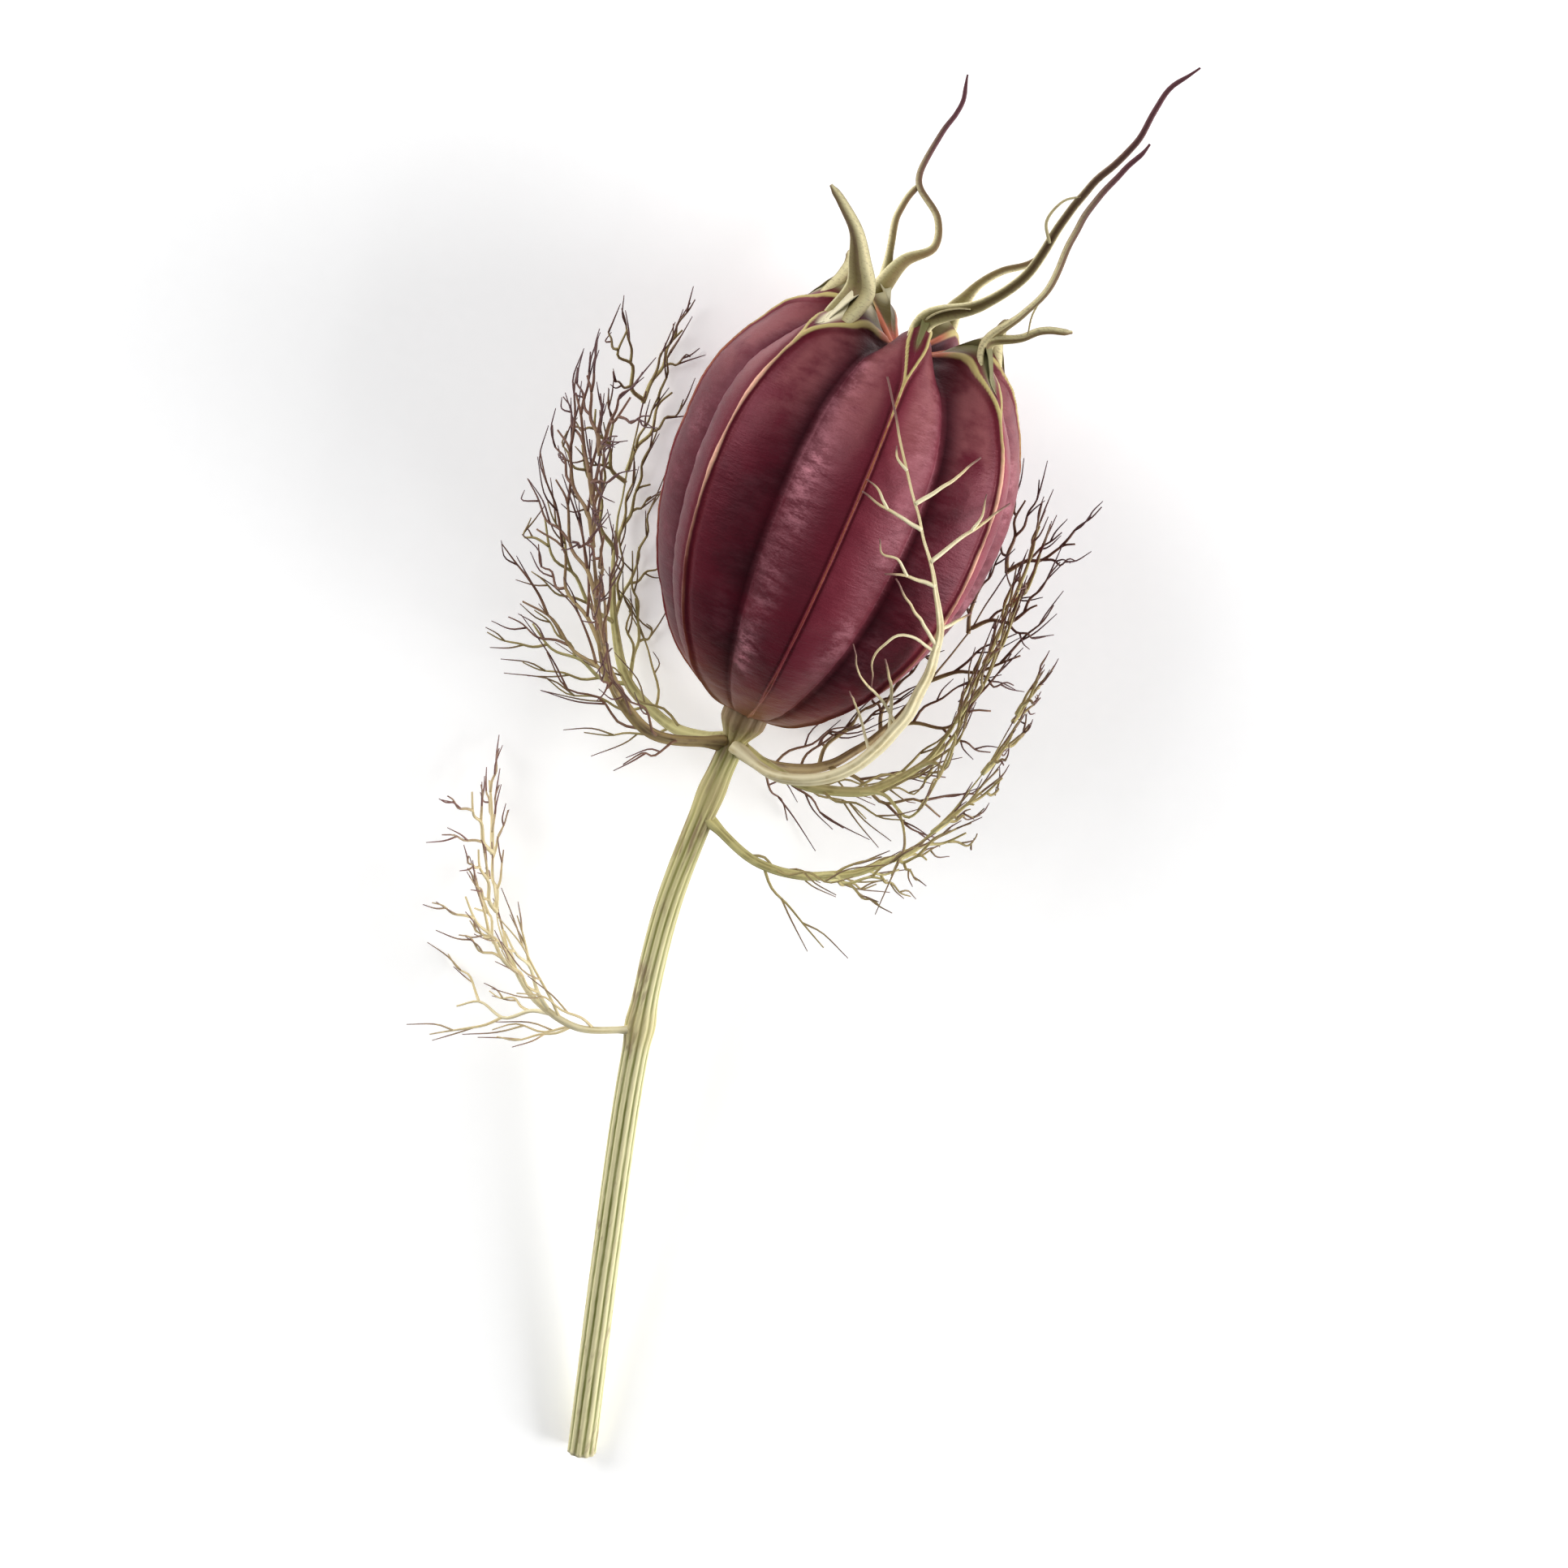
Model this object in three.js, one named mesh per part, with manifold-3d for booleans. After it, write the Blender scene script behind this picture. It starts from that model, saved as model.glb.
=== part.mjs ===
// A dried nigella seed pod as picked: an inflated capsule of seven carpels with its styles, a cut stem,
// five thread-like bracts round the capsule's foot and two thread leaves on the stem.
// Millimetres, +Z up. The pod lies on its side with its crown towards +Y. It rests on two of its lobes
// and on the stem's cut end. Every piece is first drawn in the pod's own frame, whose Y axis runs from
// the capsule's foot (0) to its crown, and is then laid down.
import * as THREE from "three";
import { mergeVertices } from "three/addons/utils/BufferGeometryUtils.js";
import Module from "manifold-3d";

const wasm = await Module();
wasm.setup();

// Driving dimensions of the capsule
const carpels = 7;
const podRadius = 10.7; // at the widest ring, over a lobe's crest
const waistAlong = 15.3; // from the foot to the widest ring
const shoulderAlong = 11.3; // from the widest ring to the top of the lobes
const shoulderPower = 2.4; // above 2 the shoulders are fuller than an ellipse
const furrowDepth = 0.14; // share of the radius by which a furrow lies below the crests
const crownFurrow = 0.7; // by how much more, as a share, it lies below them near the crown
const creaseShare = 0.6; // 0 gives flat sides between crest and furrow, 1 a round crest and a sharp crease
const keelHeight = 0.3; // of the suture that stands on every crest
const crownRadius = 5.4; // of the ring on which the styles stand
const hornRise = 2.1; // of the horn in which a crest ends, under its style
const hornReach = 2.1; // half the horn's length across the ring
const hornPower = 1.5; // above 1 the horn's sides are hollow
const crownDip = 2.4; // depth of the pit between the styles
const valleyDepth = 1.9; // of the furrows where they run in to the pit
const facetsPerLobe = 10;
const capsuleRows = 24;

// How the pod lies
const crownLift = THREE.MathUtils.degToRad(5); // of the pod's axis above level
const restDepth = 0.25; // of the two small flats pressed on the lowest lobes
const floorGap = 0.45; // between the surface and the lowest bract

// Gaps and least sizes
const threadRadius = 0.42; // a three-sided thread of this radius is 0.63 thick
const podGap = 0.56; // between the capsule and a bract's thread

// The stem: [along the pod's axis, to the right] of its centre line, from the capsule to the cut, as seen
// from above. It sags until its cut end lies on the surface
const stemRoute = [
  [-0.65, 0],
  [-6.5, 0],
  [-14, 0.4],
  [-24, 2.4],
  [-37, 5.9],
  [-50, 9.6],
];
const stemSag = 1.6; // power of the sag along the stem
const stemPress = 0.12; // by which the cut end is pressed flat
const stemRadius = 0.78; // just below the capsule
const stemEndRadius = 0.95;
const stemRidges = 6;
const cupRadius = 1.45; // of the swollen end that carries the capsule
const cupLength = 1.5;
const stemGroove = 0.86; // radius between the ridges to the radius over them
const nodeShare = 0.02; // half the length of a node, as a share of the stem's
const stemNodes = [
  { share: 0.115, swell: 0.1 },
  { share: 0.42, swell: 0.15 },
];

// The styles, one entry to a strand. carpel counts the sutures clockwise from the uppermost, seen from the
// crown; root, middle and tip are half widths; route gives [right, along, up] of the points after the root
const styles = [
  {
    carpel: 0,
    root: 0.8,
    middle: 0.44,
    tip: 0.36,
    route: [
      [2.5, 29.4, 6.9], [4.1, 32.1, 7.9], [4.6, 35.4, 8.8], [5.2, 38.1, 9.4],
      [6.6, 42.0, 10.4], [6.9, 44.8, 10.8], [8.1, 47.0, 11.2],
    ],
  },
  {
    carpel: 1,
    root: 0.8,
    middle: 0.44,
    tip: 0.36,
    route: [
      [5.2, 29.6, 4.8], [5.9, 31.7, 5.7], [5.9, 35.0, 6.3],
      [6.2, 37.4, 6.7], [7.0, 39.8, 7.1], [7.7, 41.9, 7.5],
    ],
  },
  {
    carpel: 1,
    root: 0.55,
    middle: 0.42,
    tip: 0.36,
    route: [[6.0, 28.2, 3.3], [6.8, 29.0, 3.4], [8.6, 29.7, 3.4]],
  },
  {
    carpel: 2,
    root: 0.75,
    middle: 0.5,
    tip: 0.4,
    route: [[5.1, 27.9, -1.4], [5.3, 28.4, -1.7]],
  },
  {
    carpel: 3,
    root: 0.75,
    middle: 0.42,
    tip: 0.36,
    route: [
      [2.7, 28.2, -5.0], [3.2, 29.4, -5.3], [4.2, 30.6, -5.6],
      [5.8, 31.9, -5.6], [6.5, 34.4, -5.7],
    ],
  },
  {
    carpel: 4,
    root: 0.75,
    middle: 0.42,
    tip: 0.36,
    route: [
      [-1.6, 28.9, -5.5], [-0.2, 30.3, -6.1], [-0.6, 31.9, -6.7], [-2.5, 33.5, -7.3],
      [-2.6, 35.6, -7.8], [-2.0, 38.8, -8.3], [-2.2, 40.6, -8.6],
    ],
  },
  {
    carpel: 4,
    root: 0.6,
    middle: 0.4,
    tip: 0.36,
    route: [[-2.7, 29.3, -5.9], [-3.0, 31.2, -6.6], [-2.5, 33.5, -7.3]],
  },
  {
    carpel: 5,
    root: 0.75,
    middle: 0.5,
    tip: 0.4,
    route: [[-5.0, 27.9, -1.4], [-5.2, 28.4, -1.7]],
  },
  {
    carpel: 6,
    root: 1.2,
    middle: 0.74,
    tip: 0.4,
    route: [[-4.9, 28.7, 4.0], [-5.8, 30.2, 4.6], [-7.3, 31.6, 4.8], [-8.3, 32.2, 4.9]],
  },
];
const styleFlatness = 0.62; // thickness of a root to its width; the tip is round
const styleFlare = 3.4; // length over which a root narrows to the middle's width

// The bracts: route gives [along the pod's axis, angle from the uppermost suture, distance from the axis]
// of the rib, sector the angles in which all of its threads stay, reach their largest distance from the
// axis, pairs and length those of its side threads. twigs are single threads over the capsule instead, each
// point by how far up the pod and to the right of its foot it is seen, from above and a little to the left
const viewAside = THREE.MathUtils.degToRad(6.4); // of that view to the left of the uppermost suture
const viewCrownward = THREE.MathUtils.degToRad(12); // of that view towards the crown
const bracts = [
  {
    name: "bract_1",
    route: [
      [-2.2, 22, 2.0], [-2.2, 42, 4.6], [-0.2, 52, 8.0], [4.4, 54, 10.2],
      [9.9, 46, 11.5], [13.6, 32, 11.8], [16.6, 20, 11.6], [19.6, 8, 11.2],
      [22.0, 0, 10.3], [23.6, -7, 9.3],
    ],
    twigs: [
      [[15.5, 4.8], [17.1, 5.7], [19.2, 6.8]],
      [[16.8, 3.6], [17.0, 2.4], [17.6, 2.0]],
      [[13.8, 5.1], [14.0, 3.4], [14.4, 1.2]],
      [[14.0, 3.0], [14.8, 2.2], [15.2, 1.2]],
      [[12.9, 6.6], [15.4, 8.2], [17.6, 9.5]],
      [[15.2, 8.0], [16.4, 8.2], [17.4, 8.0]],
      [[11.5, 7.2], [11.0, 5.6], [10.6, 4.4]],
      [[11.1, 5.6], [11.7, 4.6], [11.6, 3.7], [12.3, 3.3]],
      [[8.5, 8.8], [9.4, 6.9], [10.6, 5.1]],
      [[8.2, 8.9], [7.9, 6.8], [6.4, 5.8], [4.4, 6.3]],
      [[9.6, 8.8], [10.2, 9.6], [10.9, 10.1]],
      [[4.6, 9.3], [4.0, 7.2], [4.7, 5.5], [6.2, 4.3]],
      [[3.4, 8.7], [4.6, 7.6], [6.2, 6.4]],
      [[2.2, 8.1], [2.6, 6.4], [3.6, 5.2]],
    ],
    sector: [-16, 60],
    reach: 12.6,
    pairs: 0,
    length: 0,
    colour: 0xcdbf8e,
  },
  {
    name: "bract_2",
    route: [
      [-2.2, 88, 2.0], [-2.7, 88, 5.4], [-1.0, 86, 9.4],
      [2.6, 86, 11.6], [8.0, 90, 12.2], [13.5, 90, 12.4],
    ],
    sector: [66, 104],
    reach: 12.7,
    pairs: 5,
    length: 7.4,
    colour: 0x8a7d4c,
  },
  {
    name: "bract_3",
    route: [
      [-2.2, 150, 2.0], [-3.3, 142, 5.4], [-2.2, 132, 9.2],
      [2.4, 126, 12.0], [8.0, 124, 13.8], [14.0, 122, 14.8],
    ],
    sector: [110, 146],
    reach: 17.5,
    pairs: 5,
    length: 7.6,
    colour: 0x6b5040,
  },
  {
    name: "bract_4",
    route: [
      [-2.2, -146, 2.0], [-3.4, -140, 5.6], [-2.0, -131, 9.6],
      [2.8, -125, 12.4], [8.6, -123, 14.2], [15.0, -121, 15.2],
    ],
    sector: [-146, -108],
    reach: 17.5,
    pairs: 5,
    length: 7.6,
    colour: 0x75643f,
  },
  {
    name: "bract_5",
    route: [
      [-2.2, -62, 2.0], [-2.9, -66, 5.6], [-0.4, -70, 9.4],
      [4.2, -72, 12.2], [8.8, -70, 14.6], [13.2, -66, 16.4],
    ],
    sector: [-102, -24],
    reach: 18,
    pairs: 6,
    length: 8.2,
    colour: 0x5b3a35,
  },
];
const bractRibRadius = 0.6;

// The leaves on the stem, in the same terms, the upper one in an arc below the bracts
const leaves = [
  {
    name: "stem_leaf_1",
    route: [
      [-7.0, 74, 1.35], [-8.2, 76, 4.4], [-7.2, 78, 8.6],
      [-3.6, 78, 12.6], [1.8, 78, 14.6], [7.6, 80, 15.3],
    ],
    sector: [60, 108],
    reach: 16.4,
    pairs: 5,
    length: 5.6,
    colour: 0x7c7a46,
  },
  {
    name: "stem_leaf_2",
    route: [
      [-21.6, 0, 0.4], [-22.6, -85, 2.2], [-21.8, -96, 5.6],
      [-18.8, -100, 9.0], [-14.2, -101, 11.4],
    ],
    sector: [-150, -70],
    reach: 16,
    pairs: 4,
    length: 6.6,
    colour: 0x8f8d52,
  },
];
const leafRibRadius = 0.52;

const lobeAngle = (2 * Math.PI) / carpels;
// A point from its place along the pod's axis, its angle from the uppermost suture and its distance
// from the axis
function around(along, angle, distance) {
  return new THREE.Vector3(distance * Math.sin(angle), along, distance * Math.cos(angle));
}

function smoothStep(low, high, value) {
  return THREE.MathUtils.smoothstep(value, low, high);
}

// 0 on a suture, 1 in the middle of a furrow
function furrowShare(angle) {
  const turns = angle / lobeAngle;
  return 2 * Math.abs(turns - Math.round(turns));
}

// How far a furrow has fallen at that share: a ridge on the suture, a crease in the furrow
function furrowFall(share) {
  return (1 - creaseShare) * share + creaseShare * share * share;
}

// The capsule's skin: rise runs from 0 at the foot to 1 in the pit, angle from the uppermost suture
function capsulePoint(rise, angle) {
  const polar = Math.PI * rise;
  const ring = podRadius * Math.sin(polar);
  const share = furrowShare(angle);
  const fall = furrowFall(share);
  const onTop = rise > 0.5;
  const inner = onTop ? 1 - smoothStep(0, crownRadius, ring) : 0;
  const horns = onTop ? Math.exp(-(((ring - crownRadius) / hornReach) ** 2)) * smoothStep(0, 2, ring) : 0;
  const valley = onTop ? 1 - smoothStep(0.6 * crownRadius, 1.6 * crownRadius, ring) : 0;
  let along = onTop
    ? waistAlong + shoulderAlong * Math.abs(Math.cos(polar)) ** (2 / shoulderPower)
    : waistAlong * (1 - Math.cos(polar));
  along += hornRise * horns * (1 - share) ** hornPower;
  along -= crownDip * inner + valleyDepth * valley * fall * (1 - inner);
  const foot = smoothStep(0, 0.25, rise);
  const keelEnd = onTop ? smoothStep(0.5 * crownRadius, crownRadius, ring) : foot;
  const keel = keelHeight * Math.max(0, 1 - share / 0.11) * keelEnd;
  const deep = 0.55 + 0.45 * foot + crownFurrow * smoothStep(0.6, 0.82, rise);
  return around(along, angle, ring * (1 - furrowDepth * fall * deep) + keel);
}

// The capsule's radius over a crest at a place along its axis
function crestRadius(along) {
  if (along <= 0 || along >= waistAlong + shoulderAlong) return 0;
  if (along < waistAlong) return podRadius * Math.sqrt(1 - ((waistAlong - along) / waistAlong) ** 2);
  return podRadius * Math.sqrt(1 - ((along - waistAlong) / shoulderAlong) ** shoulderPower);
}

// A closed manifold solid from a geometry, and back
function solidOf(geometry) {
  const bare = geometry.clone();
  bare.deleteAttribute("normal");
  bare.deleteAttribute("uv");
  const merged = mergeVertices(bare, 1e-4);
  const vertProperties = new Float32Array(merged.getAttribute("position").array);
  const triVerts = new Uint32Array(merged.index.array);
  return new wasm.Manifold(new wasm.Mesh({ numProp: 3, vertProperties, triVerts }));
}

function geometryOf(solid) {
  const mesh = solid.getMesh();
  const geometry = new THREE.BufferGeometry();
  geometry.setAttribute("position", new THREE.BufferAttribute(mesh.vertProperties, 3));
  geometry.setIndex(new THREE.BufferAttribute(mesh.triVerts, 1));
  geometry.computeVertexNormals();
  return geometry;
}

function joined(geometries) {
  return geometries.map(solidOf).reduce((whole, piece) => whole.add(piece));
}

// A strand along points: a cylinder whose rings are carried to the curve. size(t) gives a ring's half width,
// flatness(t) its thickness to its width, across the direction of the width, ridge(n) a factor for a corner
function strand(points, { sides, rings, size, flatness = () => 1, across = null, ridge = () => 1 }) {
  const curve = new THREE.CatmullRomCurve3(points, false, "centripetal");
  const shape = new THREE.CylinderGeometry(1, 1, 1, sides, rings);
  const frames = curve.computeFrenetFrames(rings, false);
  const place = shape.getAttribute("position");
  for (let i = 0; i < place.count; i++) {
    const share = place.getY(i) + 0.5;
    const ring = Math.round(share * rings);
    const tangent = frames.tangents[ring];
    const side = (across ?? frames.normals[ring]).clone();
    side.addScaledVector(tangent, -side.dot(tangent)).normalize();
    const front = side.clone().cross(tangent);
    const corner = Math.round((Math.atan2(place.getX(i), place.getZ(i)) / (2 * Math.PI)) * sides);
    const half = size(share) * ridge((corner + sides) % sides);
    const spot = curve.getPointAt(share);
    spot.addScaledVector(side, place.getX(i) * half);
    spot.addScaledVector(front, place.getZ(i) * half * flatness(share));
    place.setXYZ(i, spot.x, spot.y, spot.z);
  }
  return shape;
}

// A number from 0 to 1 that is always the same for the same seed
function chance(seed) {
  const value = Math.sin(seed * 12.9898) * 43758.5453;
  return value - Math.floor(value);
}

function makeCapsule() {
  const skin = new THREE.SphereGeometry(1, carpels * facetsPerLobe, capsuleRows);
  const place = skin.getAttribute("position");
  for (let i = 0; i < place.count; i++) {
    const corner = new THREE.Vector3().fromBufferAttribute(place, i);
    const rise = 1 - Math.acos(THREE.MathUtils.clamp(corner.y, -1, 1)) / Math.PI;
    const turns = Math.atan2(corner.x, corner.z) / lobeAngle;
    const lobe = Math.round(turns);
    const offset = 2 * (turns - lobe);
    const gathered = (Math.sign(offset) * Math.abs(offset) ** 1.35) / 2; // facets crowd beside the suture
    const spot = capsulePoint(rise, (lobe + gathered) * lobeAngle);
    place.setXYZ(i, spot.x, spot.y, spot.z);
  }
  return skin;
}

// The pod is laid on its side with its crown lifted a little, low enough to press the two flats
function layingDown() {
  const lifted = new THREE.Matrix4().makeRotationX(crownLift);
  const corners = makeCapsule().applyMatrix4(lifted).getAttribute("position");
  const lying = new THREE.Box3().setFromBufferAttribute(corners);
  return new THREE.Matrix4().makeTranslation(0, 0, -lying.min.z - restDepth).multiply(lifted);
}

const layDown = layingDown();

function makeStyle({ carpel, root, middle, tip, route }) {
  const angle = carpel * lobeAngle;
  const foot = capsulePoint(0.775, angle);
  const crest = capsulePoint(0.83, angle);
  const points = [
    foot.add(around(-0.5, angle, -0.9)),
    crest.add(around(-0.3, angle, -0.5)),
    ...route.map(([right, along, up]) => new THREE.Vector3(right, along, up)),
  ];
  const length = new THREE.CatmullRomCurve3(points, false, "centripetal").getLength();
  const flareEnd = styleFlare / length + 0.15;
  return strand(points, {
    sides: 5,
    rings: Math.round(5 + length / 3),
    size: (t) => {
      const half = THREE.MathUtils.lerp(root, middle, smoothStep(0.25, 1, t / flareEnd));
      return half + (tip - middle) * Math.max((t - 0.25) / 0.75, 0);
    },
    flatness: (t) => THREE.MathUtils.lerp(styleFlatness, 1, smoothStep(0.1, 0.5, t)),
    across: around(0, angle + Math.PI / 2, 1),
  });
}

function makeStem() {
  const [cutAlong] = stemRoute.at(-1);
  const axisHeight = new THREE.Vector3(0, cutAlong, 0).applyMatrix4(layDown).z;
  const drop = (axisHeight - stemEndRadius + stemPress) / Math.cos(crownLift);
  const points = stemRoute.map(
    ([along, right]) => new THREE.Vector3(right, along, -drop * (along / cutAlong) ** stemSag),
  );
  const length = new THREE.CatmullRomCurve3(points, false, "centripetal").getLength();
  return strand(points, {
    sides: 2 * stemRidges,
    rings: 34,
    size: (t) => {
      const cup = (cupRadius - stemRadius) * (1 - smoothStep(0, cupLength, t * length));
      const knots = stemNodes.map(({ share, swell }) => swell * Math.exp(-(((t - share) / nodeShare) ** 2)));
      return THREE.MathUtils.lerp(stemRadius, stemEndRadius, t) + cup + Math.max(...knots);
    },
    ridge: (corner) => (corner % 2 ? stemGroove : 1),
  });
}

// Moves a thread's point clear of the capsule, into its frond's sector and above the surface
function cleared(point, { sector, reach }) {
  const [from, to] = sector.map(THREE.MathUtils.degToRad);
  const distance = Math.hypot(point.x, point.z);
  const angle = THREE.MathUtils.clamp(Math.atan2(point.x, point.z), from, to);
  const least = crestRadius(point.y) + podGap + threadRadius;
  const moved = around(point.y, angle, THREE.MathUtils.clamp(distance, least, Math.max(reach, least)));
  const height = moved.clone().applyMatrix4(layDown).z - threadRadius - floorGap;
  if (height < 0) moved.z -= height / Math.cos(crownLift);
  return moved;
}

// A point over the capsule, as far from it as its threads are, that is seen that far up and to the right
function seenAt([up, right]) {
  let along = 0;
  let height = podRadius;
  for (let turn = 0; turn < 8; turn++) {
    along = (up + height * Math.sin(viewCrownward)) / Math.cos(viewCrownward);
    const distance = crestRadius(along) + podGap + threadRadius;
    height = Math.sqrt(Math.max(distance ** 2 - right ** 2, 0.5));
  }
  return new THREE.Vector3(
    right * Math.cos(viewAside) - height * Math.sin(viewAside),
    along,
    right * Math.sin(viewAside) + height * Math.cos(viewAside),
  );
}

// A thread-like bract or leaf: a rib with threads in pairs that fork again, the last pair at its tip
function makeFrond(frond, ribRadius, seed) {
  const ribPoints = frond.route.map(([along, angle, distance]) =>
    around(along, THREE.MathUtils.degToRad(angle), distance),
  );
  const rib = new THREE.CatmullRomCurve3(ribPoints, false, "centripetal");
  const pieces = [
    strand(ribPoints, {
      sides: 4,
      rings: 2 * (ribPoints.length - 1),
      size: (t) => THREE.MathUtils.lerp(ribRadius, threadRadius + 0.05, t),
    }),
  ];
  const thread = (from, way, length, bend) => {
    const middle = from.clone().addScaledVector(way, 0.55 * length).addScaledVector(bend, 0.07 * length);
    const end = from.clone().addScaledVector(way, length).addScaledVector(bend, 0.3 * length);
    const points = [from, cleared(middle, frond), cleared(end, frond)];
    pieces.push(strand(points, { sides: 3, rings: 2, size: () => threadRadius }));
    return new THREE.CatmullRomCurve3(points, false, "centripetal");
  };
  const grown = rib.getSpacedPoints(60);
  for (const twig of frond.twigs ?? []) {
    const [root, ...rest] = twig.map(seenAt);
    const from = grown.reduce((near, spot) => (spot.distanceTo(root) < near.distanceTo(root) ? spot : near));
    const points = [from, ...rest];
    pieces.push(strand(points, { sides: 3, rings: 2 * rest.length, size: () => threadRadius }));
    grown.push(...new THREE.CatmullRomCurve3(points, false, "centripetal").getSpacedPoints(12));
  }
  for (let pair = 0; pair < frond.pairs; pair++) {
    for (const hand of [-1, 1]) {
      const draw = seed + 10 * pair + hand;
      const t = 0.3 + (0.68 * (pair + 0.2 * chance(draw))) / (frond.pairs - 0.8);
      const from = rib.getPointAt(Math.min(t, 0.985));
      const ahead = rib.getTangentAt(Math.min(t, 0.985));
      const outward = new THREE.Vector3(from.x, 0, from.z).normalize();
      const side = ahead.clone().cross(outward).normalize().multiplyScalar(hand);
      const lean = 0.75 + 0.3 * chance(draw + 3);
      const way = ahead.clone().multiplyScalar(Math.cos(lean)).addScaledVector(side, Math.sin(lean));
      way.addScaledVector(outward, 0.12);
      const length = frond.length * (1 - 0.45 * t) * (0.85 + 0.3 * chance(draw + 5));
      const branch = thread(from, way, length, ahead);
      if ((pair + hand) % 2 === 0) continue;
      const fork = branch.getPointAt(0.5);
      const turned = ahead.clone().multiplyScalar(0.9).addScaledVector(side, -0.15 + 0.3 * chance(draw + 7));
      turned.addScaledVector(outward, 0.1);
      thread(fork, turned.normalize(), 0.5 * length, side);
    }
  }
  return pieces;
}

function coloured(name, solid, colour, roughness) {
  const material = new THREE.MeshStandardMaterial({ color: colour, roughness, metalness: 0 });
  const mesh = new THREE.Mesh(geometryOf(solid), material);
  mesh.name = name;
  return mesh;
}

// The surface under the pod, which presses the two flats and the foot of the cut stem
const surface = solidOf(new THREE.BoxGeometry(400, 400, 40).translate(0, 0, -20));
const laid = (geometries) => joined(geometries.map((geometry) => geometry.applyMatrix4(layDown)));
const rested = (geometries) => laid(geometries).subtract(surface);

const nigellaPod = new THREE.Group();
const capsuleColour = 0x6b2438;
const stemColour = 0xa9a467;
nigellaPod.add(coloured("pod", rested([makeCapsule(), ...styles.map(makeStyle)]), capsuleColour, 0.5));
nigellaPod.add(coloured("stem", rested([makeStem()]), stemColour, 0.65));
for (const [number, frond] of bracts.entries()) {
  const pieces = makeFrond(frond, bractRibRadius, 100 * (number + 1));
  nigellaPod.add(coloured(frond.name, laid(pieces), frond.colour, 0.7));
}
for (const [number, frond] of leaves.entries()) {
  const pieces = makeFrond(frond, leafRibRadius, 100 * (number + 1 + bracts.length));
  nigellaPod.add(coloured(frond.name, laid(pieces), frond.colour, 0.7));
}

// The origin is the middle of the whole part's footprint
const footprint = new THREE.Box3().setFromObject(nigellaPod).getCenter(new THREE.Vector3());
nigellaPod.position.set(-footprint.x, -footprint.y, 0);

export default nigellaPod;
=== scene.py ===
import math
import bpy
import numpy as np
from mathutils import Matrix, Vector, noise


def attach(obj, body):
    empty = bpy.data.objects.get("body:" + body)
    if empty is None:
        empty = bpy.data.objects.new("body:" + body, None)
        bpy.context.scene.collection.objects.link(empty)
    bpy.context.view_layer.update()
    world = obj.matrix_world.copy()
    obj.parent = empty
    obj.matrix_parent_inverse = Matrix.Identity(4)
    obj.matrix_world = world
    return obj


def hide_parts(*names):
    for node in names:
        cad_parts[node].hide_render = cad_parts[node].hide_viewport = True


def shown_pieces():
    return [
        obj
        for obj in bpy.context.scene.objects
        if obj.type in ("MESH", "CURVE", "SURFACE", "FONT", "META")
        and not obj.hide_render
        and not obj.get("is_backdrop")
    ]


# A dried nigella seed pod as picked, lying on its side: papery ribbed capsule, styles, bracts and stem.
# Pieces are drawn in the pod's own frame, in millimetres: x to the right, y from the foot to the crown, z up.

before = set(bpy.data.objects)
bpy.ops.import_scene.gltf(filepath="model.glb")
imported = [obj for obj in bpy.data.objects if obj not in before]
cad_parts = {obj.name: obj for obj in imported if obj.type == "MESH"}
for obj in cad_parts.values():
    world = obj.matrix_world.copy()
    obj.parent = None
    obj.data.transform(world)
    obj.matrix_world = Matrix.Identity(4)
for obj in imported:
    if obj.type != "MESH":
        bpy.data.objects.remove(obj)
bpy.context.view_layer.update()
print("frame:", ", ".join(sorted(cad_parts)))

mm = 0.001
pose = {
    "lift": 5.0,  # degrees that the crown is up
    "foot": (0.590, 1.908, 8.413),  # the middle of the capsule's foot in the part's frame
}
view = {
    "aside": 6.4,  # degrees that the camera is to the left of the uppermost suture
    "crownward": 12.0,  # degrees towards the crown
    "lean": 23.6,  # degrees that the pod leans to the right in the picture
}
liftAngle = math.radians(pose["lift"])
podTurn = np.array([
    [1, 0, 0],
    [0, math.cos(liftAngle), -math.sin(liftAngle)],
    [0, math.sin(liftAngle), math.cos(liftAngle)],
])


def placed(points):
    # from the pod's own frame to the part's frame, in metres, pressed flat where it touches the surface
    spots = (np.asarray(points) @ podTurn.T + np.array(pose["foot"])) * mm
    spots[:, 2] = np.maximum(spots[:, 2], 0.00001)
    return spots


def smooth(low, high, value):
    t = np.clip((value - low) / (high - low), 0, 1)
    return t * t * (3 - 2 * t)


def around(along, angle, distance):
    return np.array([distance * math.sin(angle), along, distance * math.cos(angle)])


def chance(seed):
    value = math.sin(seed * 12.9898) * 43758.5453
    return value - math.floor(value)


def unit(vector):
    return vector / np.linalg.norm(vector)


def grain(points, scale, stretch=(1, 1, 1)):
    # soft noise at each point, from about -1 to 1, finer along an axis with a larger stretch
    spots = points * scale * np.array(stretch)
    return np.array([noise.noise(Vector(spot)) for spot in spots])


# Meshes

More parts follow.
